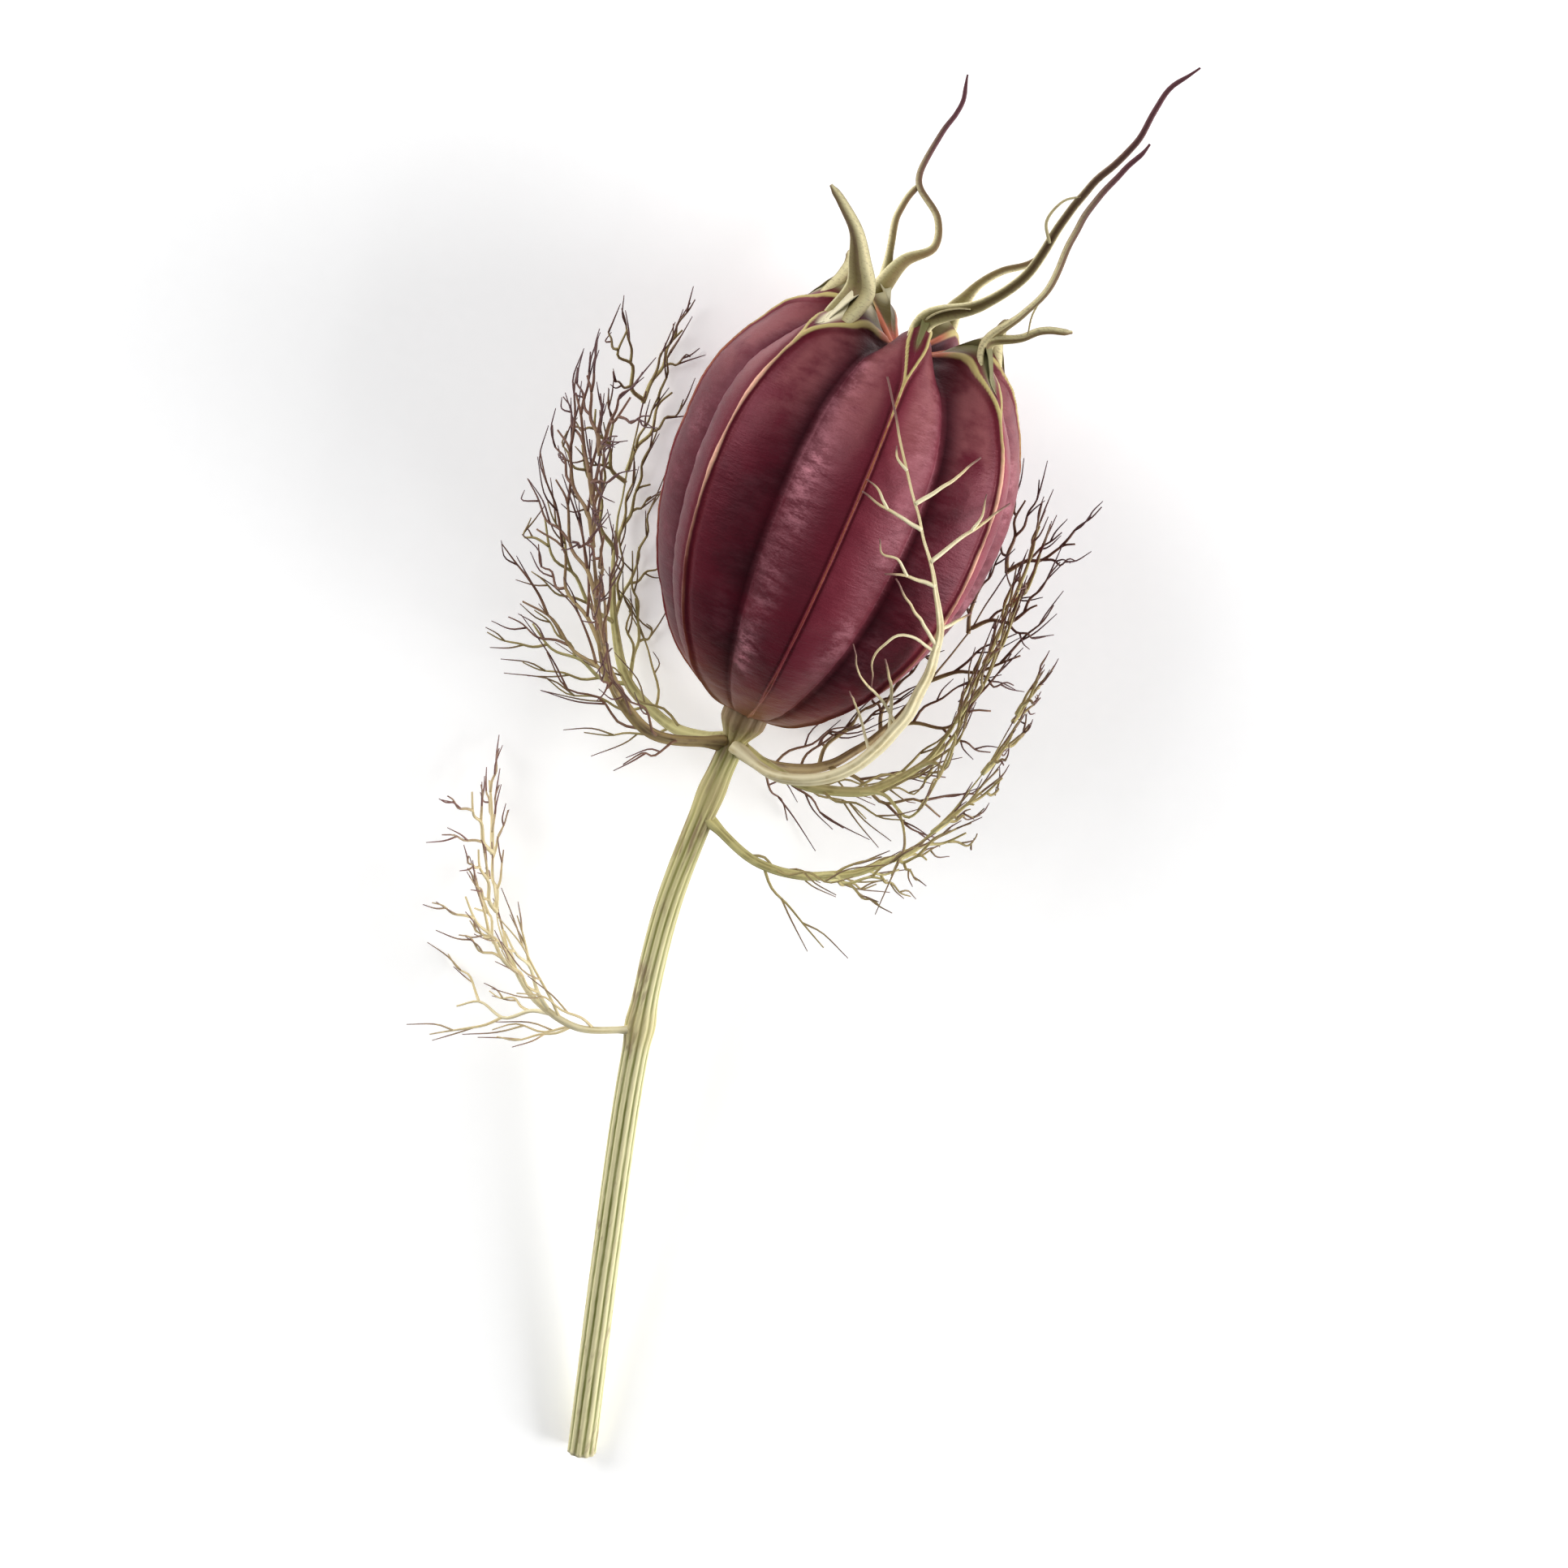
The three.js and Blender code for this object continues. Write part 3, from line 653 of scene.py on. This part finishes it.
def skinColour(f, cloud, speck, fine):
    # dark burgundy with painted shade towards the furrows, painted light on the lit flanks, a mottled bloom beside
    # the furrows that is partly painted highlight, a painted sheen on the shoulders and an ochre foot
    share, rise = f.paint("share"), f.paint("rise")
    # painted shade: darker towards the furrows, mixed with random mottling
    depth = f.clip(cloud * 0.7 + share * 0.2 + fine * 0.15, 0.36, 0.74)
    skin = f.mix(depth, podColours["body"], podColours["dark"])
    # painted light: the lit flanks painted lighter and pinker
    skin = f.mix(f.paint("flush") * (0.35 + 0.5 * f.clip(cloud, 0.35, 0.7)), skin, podColours["flush"])
    # pale mottled bloom beside the furrows, partly painted highlight, with the painted highlight patch
    bloomAndHighlight = f.clip(speck * 0.7 + 0.3 * fine, 0.38, 0.68) * f.paint("ladder")
    skin = f.mix(bloomAndHighlight * 0.9, skin, podColours["pale"])
    # painted sheen: a greyish rose in the middle of the flanks at the shoulders
    paintedSheenMask = f.clip(rise, 0.52, 0.68) * (1 - f.clip(rise, 0.76, 0.84))
    paintedSheenMask = paintedSheenMask * f.clip(share, 0.08, 0.34) * (1 - f.clip(share, 0.6, 0.95))
    paintedSheenMask = paintedSheenMask * f.clip(cloud + 0.2 * (speck - 0.5), 0.3, 0.55)
    skin = f.mix(paintedSheenMask * 0.75, skin, podColours["paintedShoulderSheen"])
    low = 1 - f.clip(rise, 0.05, 0.3)
    skin = f.mix(low * 0.6, skin, podColours["footRed"])
    ochre = (1 - f.clip(rise + 0.1 * (speck - 0.5) + 0.05 * share, 0.04, 0.24)) * (0.55 + 0.4 * speck)
    return f.mix(ochre, skin, podColours["foot"])


def sutureColour(f, cloud, speck):
    # red-brown low down, dried pale or orange-brown in the middle, olive at the crown, salmon in the pit
    rise, bright = f.paint("rise"), f.paint("bright")
    paled = f.clip(rise + 0.3 * (cloud - 0.5), 0.26, 0.5) * f.clip(bright + 0.5 * (speck - 0.5), 0, 1)
    line = f.mix(paled, podColours["sutureLow"], podColours["suture"])
    browned = f.clip(rise + 0.2 * (speck - 0.5), 0.5, 0.66) * (1 - bright)
    line = f.mix(browned, line, podColours["sutureMiddle"])
    line = f.mix(f.clip(rise + 0.2 * (speck - 0.5), 0.62, 0.74), line, podColours["sutureTop"])
    return f.mix(f.clip(f.paint("pit"), 0.05, 0.4), line, podColours["pitLine"])


def strandColour(f, cloud, speck, fine):
    # styles: olive with a painted highlight along the edges and painted shade in the channel at the root, darker
    # towards the tip
    tip = f.paint("tip")
    strand = f.mix(f.clip(tip, 0.05, 0.45), podColours["styleRoot"], podColours["styleMiddle"])
    strand = f.mix(f.clip(tip + 0.3 * cloud, 0.5, 1.0), strand, podColours["styleTip"])
    # painted shade in the channel of the root
    strand = f.mix(f.paint("groove") * (0.5 + 0.4 * speck), strand, podColours["styleChannelShade"])
    # painted highlight along the edges
    strand = f.mix(f.paint("edge") * (1 - f.clip(tip, 0.3, 0.9)), strand, podColours["styleEdgeHighlight"])
    return f.mix(f.clip(fine, 0.5, 0.7) * 0.35, strand, podColours["styleTip"])


def podFinish():
    f = Finish("podSkin")
    cloud = f.noise(0.3, detail=4.0)
    speck = f.noise(1.2, stretch=(0.55, 1.7, 0.55), detail=4.0, roughness=0.6)
    fine = f.noise(4.5, stretch=(1, 2.2, 1), detail=3.0)
    skin = skinColour(f, cloud, speck, fine)
    skin = f.mix(f.paint("groove") * 0.6, skin, podColours["groove"])
    pit = f.paint("pit")
    skin = f.mix(f.clip(pit, 0.02, 0.3) * 0.85, skin, podColours["pitDark"])
    skin = f.mix(f.paint("inner") * (0.6 + 0.4 * speck), skin, podColours["boatInner"])
    skin = f.mix(f.clip(pit + 0.2 * (speck - 0.5), 0.6, 0.98) * 0.9, skin, podColours["pit"])
    boatColour = f.mix(f.paint("boatPale"), podColours["boat"], podColours["boatPale"])
    skin = f.mix(f.clip(f.paint("boat"), 0.15, 0.6), skin, boatColour)
    worn = 0.3 + 0.7 * f.clip(f.paint("rise") + 0.7 * (cloud - 0.5), 0.2, 0.6)
    skin = f.mix(f.clip(f.paint("suture"), 0.3, 0.8) * worn, skin, sutureColour(f, cloud, speck))
    horn = f.paint("horn")  # 1 on the styles
    colour = f.mix(horn, skin, strandColour(f, cloud, speck, fine))
    normal = f.bump(f.noise(2.6, stretch=(0.6, 2.4, 0.6), detail=4.0), 0.35, 0.1)
    normal = f.bump(f.noise(9.0, detail=3.0), 0.25, 0.05, normal)
    return f.close(Base_Color=colour, Roughness=0.34 + 0.16 * speck + 0.14 * horn, Normal=normal,
                   Sheen_Weight=0.05, Sheen_Roughness=0.35, Sheen_Tint=tone(240, 140, 170),
                   Specular_IOR_Level=0.32, Specular_Tint=tone(255, 168, 184))


# The stem

stem = {
    "route": [[0.5, 0], [-6.5, 0], [-14, 0.4], [-24, 2.4], [-37, 5.9], [-50, 9.6]],  # along and to the right
    "sag": 1.6,  # above 1 the bend down to the surface is further from the capsule
    "press": 0.12,  # of the cut end into the surface
    "radius": 0.78,
    "endRadius": 0.95,
    "ridges": 11,
    "groove": 0.12,  # depth between the ridges, as a share of the radius
    "twist": 0.9,  # radians, from end to end
    "cup": 1.45,  # radius under the capsule
    "cupFrom": 0.9,  # from the stem's hidden end
    "cupLength": 1.5,
    "nodes": [(0.115, 0.1), (0.42, 0.15)],  # place and swelling
    "nodeShare": 0.02,
    "corners": 54,
    "steps": 190,
}
stemColours = {
    "ridge": tone(222, 214, 166),
    "groove": tone(126, 128, 66),
    "node": tone(196, 182, 126),
    "olive": tone(164, 156, 88),
    "stain": tone(112, 74, 60),
    "cut": tone(222, 212, 172),
}


def makeStem():
    cutAlong = stem["route"][-1][0]
    axisHeight = (podTurn @ np.array([0, cutAlong, 0]))[2] + pose["foot"][2]
    drop = (axisHeight - stem["endRadius"] + stem["press"]) / math.cos(liftAngle)
    points = [[right, along, -drop * max(along / cutAlong, 0) ** stem["sag"]]
              for along, right in stem["route"]]
    route, length = smoothRoute(points, stem["steps"])
    turns = np.arange(stem["corners"]) * 2 * math.pi / stem["corners"]

    def ridgeAt(turn, share):
        return np.abs(np.sin((turn + stem["twist"] * share) * stem["ridges"] / 2))

    def section(share):
        cup = 1 - smooth(0, stem["cupLength"], share * length - stem["cupFrom"])
        knot = max(swell * hill(share - at, stem["nodeShare"]) for at, swell in stem["nodes"])
        half = stem["radius"] + (stem["endRadius"] - stem["radius"]) * share
        half = half + (stem["cup"] - stem["radius"]) * cup + knot
        half = half * (1 - stem["groove"] * (1 - ridgeAt(turns, share) ** 0.8))
        return np.column_stack([np.cos(turns) * half, np.sin(turns) * half])

    skin, faces, share = tube(route, section, [1, 0, 0])
    ridge = np.append(ridgeAt(np.tile(turns, stem["steps"]), share[:-2]), [1, 1])
    knot = sum(hill(share - at, 1.6 * stem["nodeShare"]) for at, swell in stem["nodes"])
    cut = np.append((share[:-2] > 0.9999).astype(float), [0, 1])
    bundle = Bundle()
    bundle.add(skin, faces, ridge=ridge, knot=knot, along=share, cut=cut)
    return bundle


def stemFinish():
    f = Finish("stemStraw")
    streak = f.noise(1.1, stretch=(2.6, 0.14, 2.6), detail=4.0)
    cloud = f.noise(0.5, stretch=(1, 0.35, 1), detail=4.0)
    ridge = f.clip(f.paint("ridge") + 0.5 * (streak - 0.5), 0.15, 0.8)
    colour = f.mix(ridge, stemColours["groove"], stemColours["ridge"])
    young = 1 - f.clip(f.paint("along") + 0.2 * (cloud - 0.5), 0.1, 0.45)
    colour = f.mix(young * 0.6, colour, stemColours["olive"])
    stained = f.clip(cloud * 0.6 + 0.5 * streak + 0.06 * young, 0.58, 0.7)
    colour = f.mix(stained * 0.6, colour, stemColours["stain"])
    colour = f.mix(f.clip(f.paint("knot"), 0.2, 0.9) * 0.45, colour, stemColours["node"])
    colour = f.mix((1 - f.clip(f.paint("along") + 0.04 * streak, 0.03, 0.08)) * 0.75, colour,
                   stemColours["stain"])
    colour = f.mix(f.paint("cut"), colour, stemColours["cut"])
    normal = f.bump(f.noise(3.0, stretch=(2.4, 0.3, 2.4), detail=4.0), 0.5, 0.07)
    return f.close(Base_Color=colour, Roughness=0.5 + 0.2 * streak, Normal=normal,
                   Specular_IOR_Level=0.4)


# The bracts and leaves. A route gives [along, angle from the uppermost suture, distance from the axis] of the rib.
# The side threads come in pairs and keep within the frond's reach and sector. The front bract has twigs instead,
# by [up, right] of the capsule's foot as the camera sees them.

fronds = [
    {"name": "bract_1", "slot": "bract_cream", "look": "cream", "seed": 100, "rib": 0.52, "pairs": 0,
     "route": [[-2.2, 22, 0.7], [-2.2, 42, 4.6], [-0.2, 52, 8.0], [4.4, 54, 10.2], [9.9, 46, 11.3],
               [13.6, 32, 11.7], [16.6, 20, 11.5], [19.6, 8, 11.0], [22.0, 0, 10.0], [23.6, -7, 8.8]],
     "twigs": [
         [[15.5, 4.8], [17.1, 5.7], [19.2, 6.8]],
         [[16.8, 3.6], [17.0, 2.4], [17.6, 2.0]],
         [[13.8, 5.1], [14.0, 3.4], [14.4, 1.2]],
         [[14.0, 3.0], [14.8, 2.2], [15.2, 1.2]],
         [[12.9, 6.6], [15.4, 8.2], [17.6, 9.5]],
         [[15.2, 8.0], [16.4, 8.2], [17.4, 8.0]],
         [[11.5, 7.2], [11.0, 5.6], [10.6, 4.4]],
         [[11.1, 5.6], [11.7, 4.6], [11.6, 3.7], [12.3, 3.3]],
         [[8.5, 8.8], [9.4, 6.9], [10.6, 5.1]],
         [[8.2, 8.9], [7.9, 6.8], [6.4, 5.8], [4.4, 6.3]],
         [[9.6, 8.8], [10.2, 9.6], [10.9, 10.1]],
         [[4.6, 9.3], [4.0, 7.2], [4.7, 5.5], [6.2, 4.3]],
         [[3.4, 8.7], [4.6, 7.6], [6.2, 6.4]],
         [[2.2, 8.1], [2.6, 6.4], [3.6, 5.2]],
     ]},
    {"name": "bract_2", "slot": "bract_cream", "look": "olive", "seed": 200, "rib": 0.4, "pairs": 5,
     "length": 7.4, "reach": 12.7, "sector": (66, 104),
     "route": [[-2.2, 88, 0.7], [-2.7, 88, 5.4], [-1.0, 86, 9.4], [2.6, 86, 11.6], [8.0, 90, 12.2],
               [13.5, 90, 12.4]]},
    {"name": "bract_3", "slot": "bract_brown", "look": "brown", "seed": 300, "rib": 0.42, "pairs": 5,
     "length": 7.6, "reach": 17.5, "sector": (110, 146),
     "route": [[-2.2, 150, 0.7], [-3.3, 142, 5.4], [-2.2, 132, 9.2], [2.4, 126, 12.0], [8.0, 124, 13.8],
               [14.0, 122, 14.8]]},
    {"name": "bract_4", "slot": "bract_brown", "look": "olive", "seed": 400, "rib": 0.42, "pairs": 5,
     "length": 7.6, "reach": 17.5, "sector": (-146, -108),
     "route": [[-2.2, -146, 0.7], [-3.4, -140, 5.6], [-2.0, -131, 9.6], [2.8, -125, 12.4], [8.6, -123, 14.2],
               [15.0, -121, 15.2]]},
    {"name": "bract_5", "slot": "bract_brown", "look": "brown", "seed": 500, "rib": 0.44, "pairs": 6,
     "length": 8.2, "reach": 18.0, "sector": (-102, -24),
     "route": [[-2.2, -62, 0.7], [-2.9, -66, 5.6], [-0.4, -70, 9.4], [4.2, -72, 12.2], [8.8, -70, 14.6],
               [13.2, -66, 16.4]]},
    {"name": "stem_leaf_1", "slot": "bract_cream", "look": "olive", "seed": 600, "rib": 0.36, "pairs": 5,
     "length": 5.6, "reach": 16.4, "sector": (60, 108),
     "route": [[-7.0, 74, 0.3], [-8.2, 76, 4.4], [-7.2, 78, 8.6], [-3.6, 78, 12.6], [1.8, 78, 14.6],
               [7.6, 80, 15.3]]},
    {"name": "stem_leaf_2", "slot": "bract_cream", "look": "cream", "seed": 700, "rib": 0.36, "pairs": 4,
     "length": 6.6, "reach": 16.0, "sector": (-150, -70),
     "route": [[-21.6, 115, 1.6], [-22.6, -85, 2.2], [-21.8, -96, 5.6], [-18.8, -100, 9.0],
               [-14.2, -101, 11.4]]},
]
ribs = {
    "steps": 90,
    "corners": 18,
    "rootSwell": 0.5,  # share of its thickness that a rib gains where it leaves the stem
    "slim": (0.7, 0.16),  # shares that it loses in its middle and evenly along it
    "lines": 0.1,  # depth of the six fine lines along it
    "flat": 0.75,
    "channel": 0.55,  # depth of the channel on its face
    "waver": 0.12,
}
threads = {
    "gap": 0.35,  # kept to the capsule
    "floorGap": 0.3,
    "sizes": [0.16, 0.105, 0.07],  # here and below: of a side thread, its forks and their twigs
    "steps": [20, 14, 8],
    "curl": [0.3, 0.62, 0.85],  # how far it bends up the rib
    "kinks": [(0.3, 0.55, 0.8, 1.0), (0.3, 0.55, 0.8, 1.0), (0.5, 1.0)],
    "forks": [(0.3, 0.55, 0.8), (0.42, 0.74)],
    "corners": 5,
    "slim": 0.4,  # of its root that a thread's tip keeps
    "hook": 0.16,  # sideways at the tips, as a share of the length
    "kink": 0.055,  # sideways at each fork, as a share of the thread's length
    "wobble": 0.12,
    "firstPair": 0.3,  # place along the rib
    "fineCount": 4,  # single fine threads below the first pair
    "twigSteps": 26,
}
frondColours = {  # of ribs, threads, tips and the lines along the ribs
    "cream": [tone(232, 222, 184), tone(214, 196, 150), tone(122, 84, 78), tone(178, 158, 104)],
    "olive": [tone(206, 198, 138), tone(158, 142, 92), tone(100, 66, 62), tone(124, 112, 58)],
    "brown": [tone(168, 146, 98), tone(112, 78, 60), tone(86, 56, 58), tone(84, 54, 44)],
}


def cleared(point, frond, size):
    # moved clear of the capsule, into the frond's own sector and above the surface
    low, high = (math.radians(a) for a in frond["sector"])
    distance = math.hypot(point[0], point[2])
    angle = min(max(math.atan2(point[0], point[2]), low), high)
    least = crestRadius(point[1]) + threads["gap"] + size
    moved = around(point[1], angle, max(min(distance, max(frond["reach"], least)), least))
    height = (podTurn @ moved)[2] + pose["foot"][2] - size - threads["floorGap"]
    if height < 0:
        moved[2] -= height / math.cos(liftAngle)
    return moved


def seenAt(up, right, away):
    # a spot over the capsule by its place in the picture, up the pod and to the right of its foot
    aside, crownward = math.radians(view["aside"]), math.radians(view["crownward"])
    height = capsule["radius"]
    for turn in range(8):
        along = (up + height * math.sin(crownward)) / math.cos(crownward)
        height = math.sqrt(max((crestRadius(along) + away) ** 2 - right ** 2, 0.5))
    return np.array([right * math.cos(aside) - height * math.sin(aside), along,
                     right * math.sin(aside) + height * math.cos(aside)])


def handOf(number):
    return 1 if number % 2 else -1


def growThread(bundle, frond, start, way, length, bend, level, seed, tipShare):
    size = threads["sizes"][level]
    outwardWay = unit(start * np.array([1, 0, 1]) + 1e-6)
    side = unit(np.cross(way, outwardWay))
    points = [start]
    for number, share in enumerate(threads["kinks"][level]):
        wobble = np.array([chance(seed + number + k) - 0.5 for k in (0.1, 0.2, 0.3)])
        wobble = wobble * threads["wobble"] * length
        spot = start + way * share * length + bend * threads["curl"][level] * share * share * length
        spot = spot + side * handOf(number + int(seed)) * threads["kink"] * length + wobble * share
        if level > 0:
            spot = spot + side * (chance(seed + 6) - 0.5) * 2 * threads["hook"] * share ** 3 * length
        points.append(cleared(spot, frond, size))
    steps = threads["steps"][level]
    route = smoothRoute(points, steps)[0]
    section = roundSection(threads["corners"], lambda t: size * (1 - (1 - threads["slim"]) * t))
    skin, faces, share = tube(route, section)
    bundle.add(skin, faces, tint=(level + share) / 3 * 0.7 + 0.3 * tipShare, edge=0)
    if level == 2:
        return
    for number, at in enumerate(threads["forks"][level]):
        draw = seed * 1.7 + 11 * number + 3 * level
        lean = 0.65 + 0.35 * chance(draw)
        step = int(at * (steps - 1))
        ahead = unit(route[step + 1] - route[step - 1])
        turned = unit(ahead * math.cos(lean) + side * handOf(number + int(seed)) * math.sin(lean)
                      + np.array([chance(draw + 1) - 0.5, 0, chance(draw + 2) - 0.5]) * 0.4)
        growThread(bundle, frond, route[step], turned, length * (0.42 + 0.2 * chance(draw + 4)), ahead,
                   level + 1, draw, tipShare)


def addRib(bundle, frond):
    steps, corners = ribs["steps"], ribs["corners"]
    points = [around(along, math.radians(angle), distance) for along, angle, distance in frond["route"]]
    route = smoothRoute(points, steps)[0]
    free = smooth(0.1, 0.4, np.linspace(0, 1, steps))
    for axis in range(3):
        route[:, axis] += ribs["waver"] * free * grain(route + frond["seed"] + 9.0 * axis, 0.5)
    turns = np.arange(corners) * 2 * math.pi / corners
    channel = hill(np.cos(turns), 0.45) * (np.sin(turns) > 0)
    lines = np.cos(3 * turns) ** 2
    middleSlim, evenSlim = ribs["slim"]

    def section(share):
        half = frond["rib"] * (1 + ribs["rootSwell"] * (1 - smooth(0, 0.06, share)))
        half = half * (1 - middleSlim * smooth(0.3, 0.74, share) - evenSlim * share)
        edge = half * (1 - ribs["lines"] * lines)
        face = np.sin(turns) * edge * ribs["flat"] * (1 - ribs["channel"] * channel)
        return np.column_stack([np.cos(turns) * edge, face])

    points, faces, share = tube(route, section, np.cross(route[20] - route[10], route[20] * [1, 0, 1]))
    bundle.add(points, faces, tint=share * 0.4 + 0.55 * smooth(0.84, 0.98, share),
               edge=np.append(np.tile(1 - lines, steps), [0, 0]))
    return route


def addTwigs(bundle, route, twigs):
    # threads over the capsule, each from the nearest spot of what has grown
    steps = threads["twigSteps"]
    free = smooth(0, 0.3, np.linspace(0, 1, steps))
    grown = [route]
    for number, twig in enumerate(twigs):
        spots = [seenAt(up, right, threads["gap"] + threads["sizes"][0] + 0.25) for up, right in twig]
        rooted = np.vstack(grown)
        start = rooted[np.argmin(np.linalg.norm(rooted - spots[0], axis=1))]
        path = smoothRoute([start] + spots[1:], steps)[0]
        for axis in range(3):
            path[:, axis] += 0.1 * grain(path + 40.0 + 9.0 * axis, 0.9) * free
        size = threads["sizes"][0] * (0.9 if number % 2 == 0 else 0.7)
        points, faces, share = tube(path, roundSection(6, lambda t, size=size: size * (1 - 0.6 * t)))
        bundle.add(points, faces, tint=0.12 + 0.8 * share ** 2, edge=0)
        grown.append(path)


def addFineThreads(bundle, frond, route):
    count = threads["fineCount"]
    for number in range(count):
        draw = frond["seed"] + 70 + 7 * number
        step = int((0.13 + 0.17 * (number + 0.5 * chance(draw)) / count) * ribs["steps"])
        ahead = unit(route[step + 2] - route[step - 1])
        side = unit(np.cross(ahead, unit(route[step] * np.array([1, 0, 1])))) * handOf(number)
        length = 3.4 + 2 * chance(draw + 2)
        growThread(bundle, frond, route[step], unit(ahead * 0.7 + side), length, ahead, 1, draw, 0.3)


def addPairs(bundle, frond, route):
    # side threads, shorter and closer towards the tip of the rib
    last = ribs["steps"] - 1
    first = threads["firstPair"]
    for pair in range(frond["pairs"]):
        for hand in (-1, 1):
            draw = frond["seed"] + 10 * pair + hand
            at = min(first + 0.68 * (pair + 0.2 * chance(draw)) / (frond["pairs"] - 0.8), 0.985)
            step = min(int(at * last), last - 1)
            start = route[step] + (route[step + 1] - route[step]) * (at * last - step)
            ahead = unit(route[min(step + 2, last)] - route[max(step - 1, 0)])
            outwardWay = unit(start * np.array([1, 0, 1]))
            side = unit(np.cross(ahead, outwardWay)) * hand
            lean = 0.75 + 0.3 * chance(draw + 3)
            way = ahead * math.cos(lean) + side * math.sin(lean) + outwardWay * 0.12
            length = frond["length"] * (1 - 0.45 * at) * (0.85 + 0.3 * chance(draw + 5))
            growThread(bundle, frond, start, way, length, ahead, 0, draw, at)


def makeFrond(frond):
    bundle = Bundle()
    route = addRib(bundle, frond)
    if "twigs" in frond:
        addTwigs(bundle, route, frond["twigs"])
    if frond["pairs"]:
        addFineThreads(bundle, frond, route)
        addPairs(bundle, frond, route)
    return bundle


def frondFinish(name):
    f = Finish("bract" + name.capitalize())
    rib, thread, tip, channel = frondColours[name]
    streak = f.noise(1.6, detail=4.0)
    tint = f.paint("tint") + 0.35 * (streak - 0.5)
    colour = f.mix(f.clip(tint, 0.08, 0.42), rib, thread)
    patch = f.clip(f.noise(0.45, detail=4.0) + 0.3 * (streak - 0.5), 0.45, 0.62)
    colour = f.mix(f.paint("edge") * (0.35 + 0.5 * patch), colour, channel)
    colour = f.mix(f.clip(tint, 0.4, 0.85), colour, tip)
    normal = f.bump(f.noise(4.0, detail=3.0), 0.4, 0.05)
    return f.close(Base_Color=colour, Roughness=0.5 + 0.2 * streak, Normal=normal, Specular_IOR_Level=0.35)


# Building

podBundle = makeCapsule()
addStyles(podBundle)
podBundle.finish("podCapsule", podFinish(), "pod", "pod_skin")
makeStem().finish("cutStem", stemFinish(), "stem", "stem_skin")
finishes = {name: frondFinish(name) for name in frondColours}
for frond in fronds:
    name = frond["name"]
    makeFrond(frond).finish("threads_" + name, finishes[frond["look"]], name, frond["slot"])
print("pieces are made")


# Floor, light and camera

studio = {
    "lens": 100,
    "sensor": 36,
    "margin": 1.1,  # room round the pod in the picture
    "floorSize": 1.5,  # half width, in metres
    "floorGlow": 0.3,  # the table is lit softly from below, so it stays pale all round
    "room": 0.12,
    "lights": [  # name, place, width and height, watts, aim
        ("leftSoftbox", (-0.42, 0.1, 0.2), (0.3, 0.4), 2.2, (0, 0.01, 0.01)),
        ("rightSoftbox", (0.45, 0.04, 0.08), (0.3, 0.5), 4.6, (0, 0.01, 0.01)),
        ("crownSoftbox", (0.0, 0.5, 0.35), (0.5, 0.3), 0.6, (0, 0, 0.01)),
    ],
}


def makeFloor():
    size = studio["floorSize"]
    corners = [(-size, -size, 0), (size, -size, 0), (size, size, 0), (-size, size, 0)]
    mesh = bpy.data.meshes.new("floor")
    mesh.from_pydata(corners, [], [(0, 1, 2, 3)])
    f = Finish("floorPaper")
    fibre = f.noise(1.4, detail=2.0)
    colour = f.mix(f.clip(fibre, 0.3, 0.7), tone(243, 243, 243), tone(246, 246, 246))
    mesh.materials.append(f.close(Base_Color=colour, Roughness=0.8, Emission_Color=tone(255, 255, 255),
                                  Emission_Strength=studio["floorGlow"]))
    floor = bpy.data.objects.new("floor", mesh)
    bpy.context.scene.collection.objects.link(floor)
    floor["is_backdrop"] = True


def makeLight(name, spot, size, power, target):
    lamp = bpy.data.lights.new(name, "AREA")
    lamp.shape = "RECTANGLE"
    lamp.size, lamp.size_y = size
    lamp.energy = power
    light = bpy.data.objects.new(name, lamp)
    light.location = spot
    light.rotation_euler = (Vector(target) - Vector(spot)).to_track_quat("-Z", "Y").to_euler()
    bpy.context.scene.collection.objects.link(light)


def makeCamera():
    # square on to the middle of the pod, from far enough that all of it is in the frame
    aside, crownward = math.radians(view["aside"]), math.radians(view["crownward"])
    toCamera = np.array([
        -math.sin(aside) * math.cos(crownward), math.sin(crownward), math.cos(aside) * math.cos(crownward)])
    toCamera = podTurn @ toCamera
    axis = podTurn @ np.array([0, 1, 0])
    seenAxis = unit(axis - toCamera * axis.dot(toCamera))
    seenRight = np.cross(seenAxis, toCamera)
    lean = math.radians(view["lean"])
    up = seenAxis * math.cos(lean) - seenRight * math.sin(lean)
    right = np.cross(up, toCamera)
    spots = np.vstack([np.array([v.co for v in piece.data.vertices]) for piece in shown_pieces()
                       if piece.name.startswith(("pod", "cut", "threads"))])
    low = np.array([(spots @ right).min(), (spots @ up).min()])
    high = np.array([(spots @ right).max(), (spots @ up).max()])
    middle = (low + high) / 2
    depth = (spots @ toCamera).mean()
    target = right * middle[0] + up * middle[1] + toCamera * depth
    span = (high - low).max() * studio["margin"]
    data = bpy.data.cameras.new("camera")
    data.lens = studio["lens"]
    data.sensor_width = studio["sensor"]
    camera = bpy.data.objects.new("camera", data)
    camera.location = target + toCamera * (span * studio["lens"] / studio["sensor"])
    turn = np.column_stack([right, up, toCamera])
    camera.rotation_euler = Matrix(turn.tolist()).to_euler()
    bpy.context.scene.collection.objects.link(camera)
    bpy.context.scene.camera = camera


makeFloor()
for light in studio["lights"]:
    makeLight(*light)
world = bpy.data.worlds.new("paleRoom")
world.use_nodes = True
world.node_tree.nodes["Background"].inputs["Color"].default_value = tone(236, 238, 242)
world.node_tree.nodes["Background"].inputs["Strength"].default_value = studio["room"]
bpy.context.scene.world = world
bpy.context.scene.view_settings.view_transform = "Standard"
makeCamera()
print("studio is set")
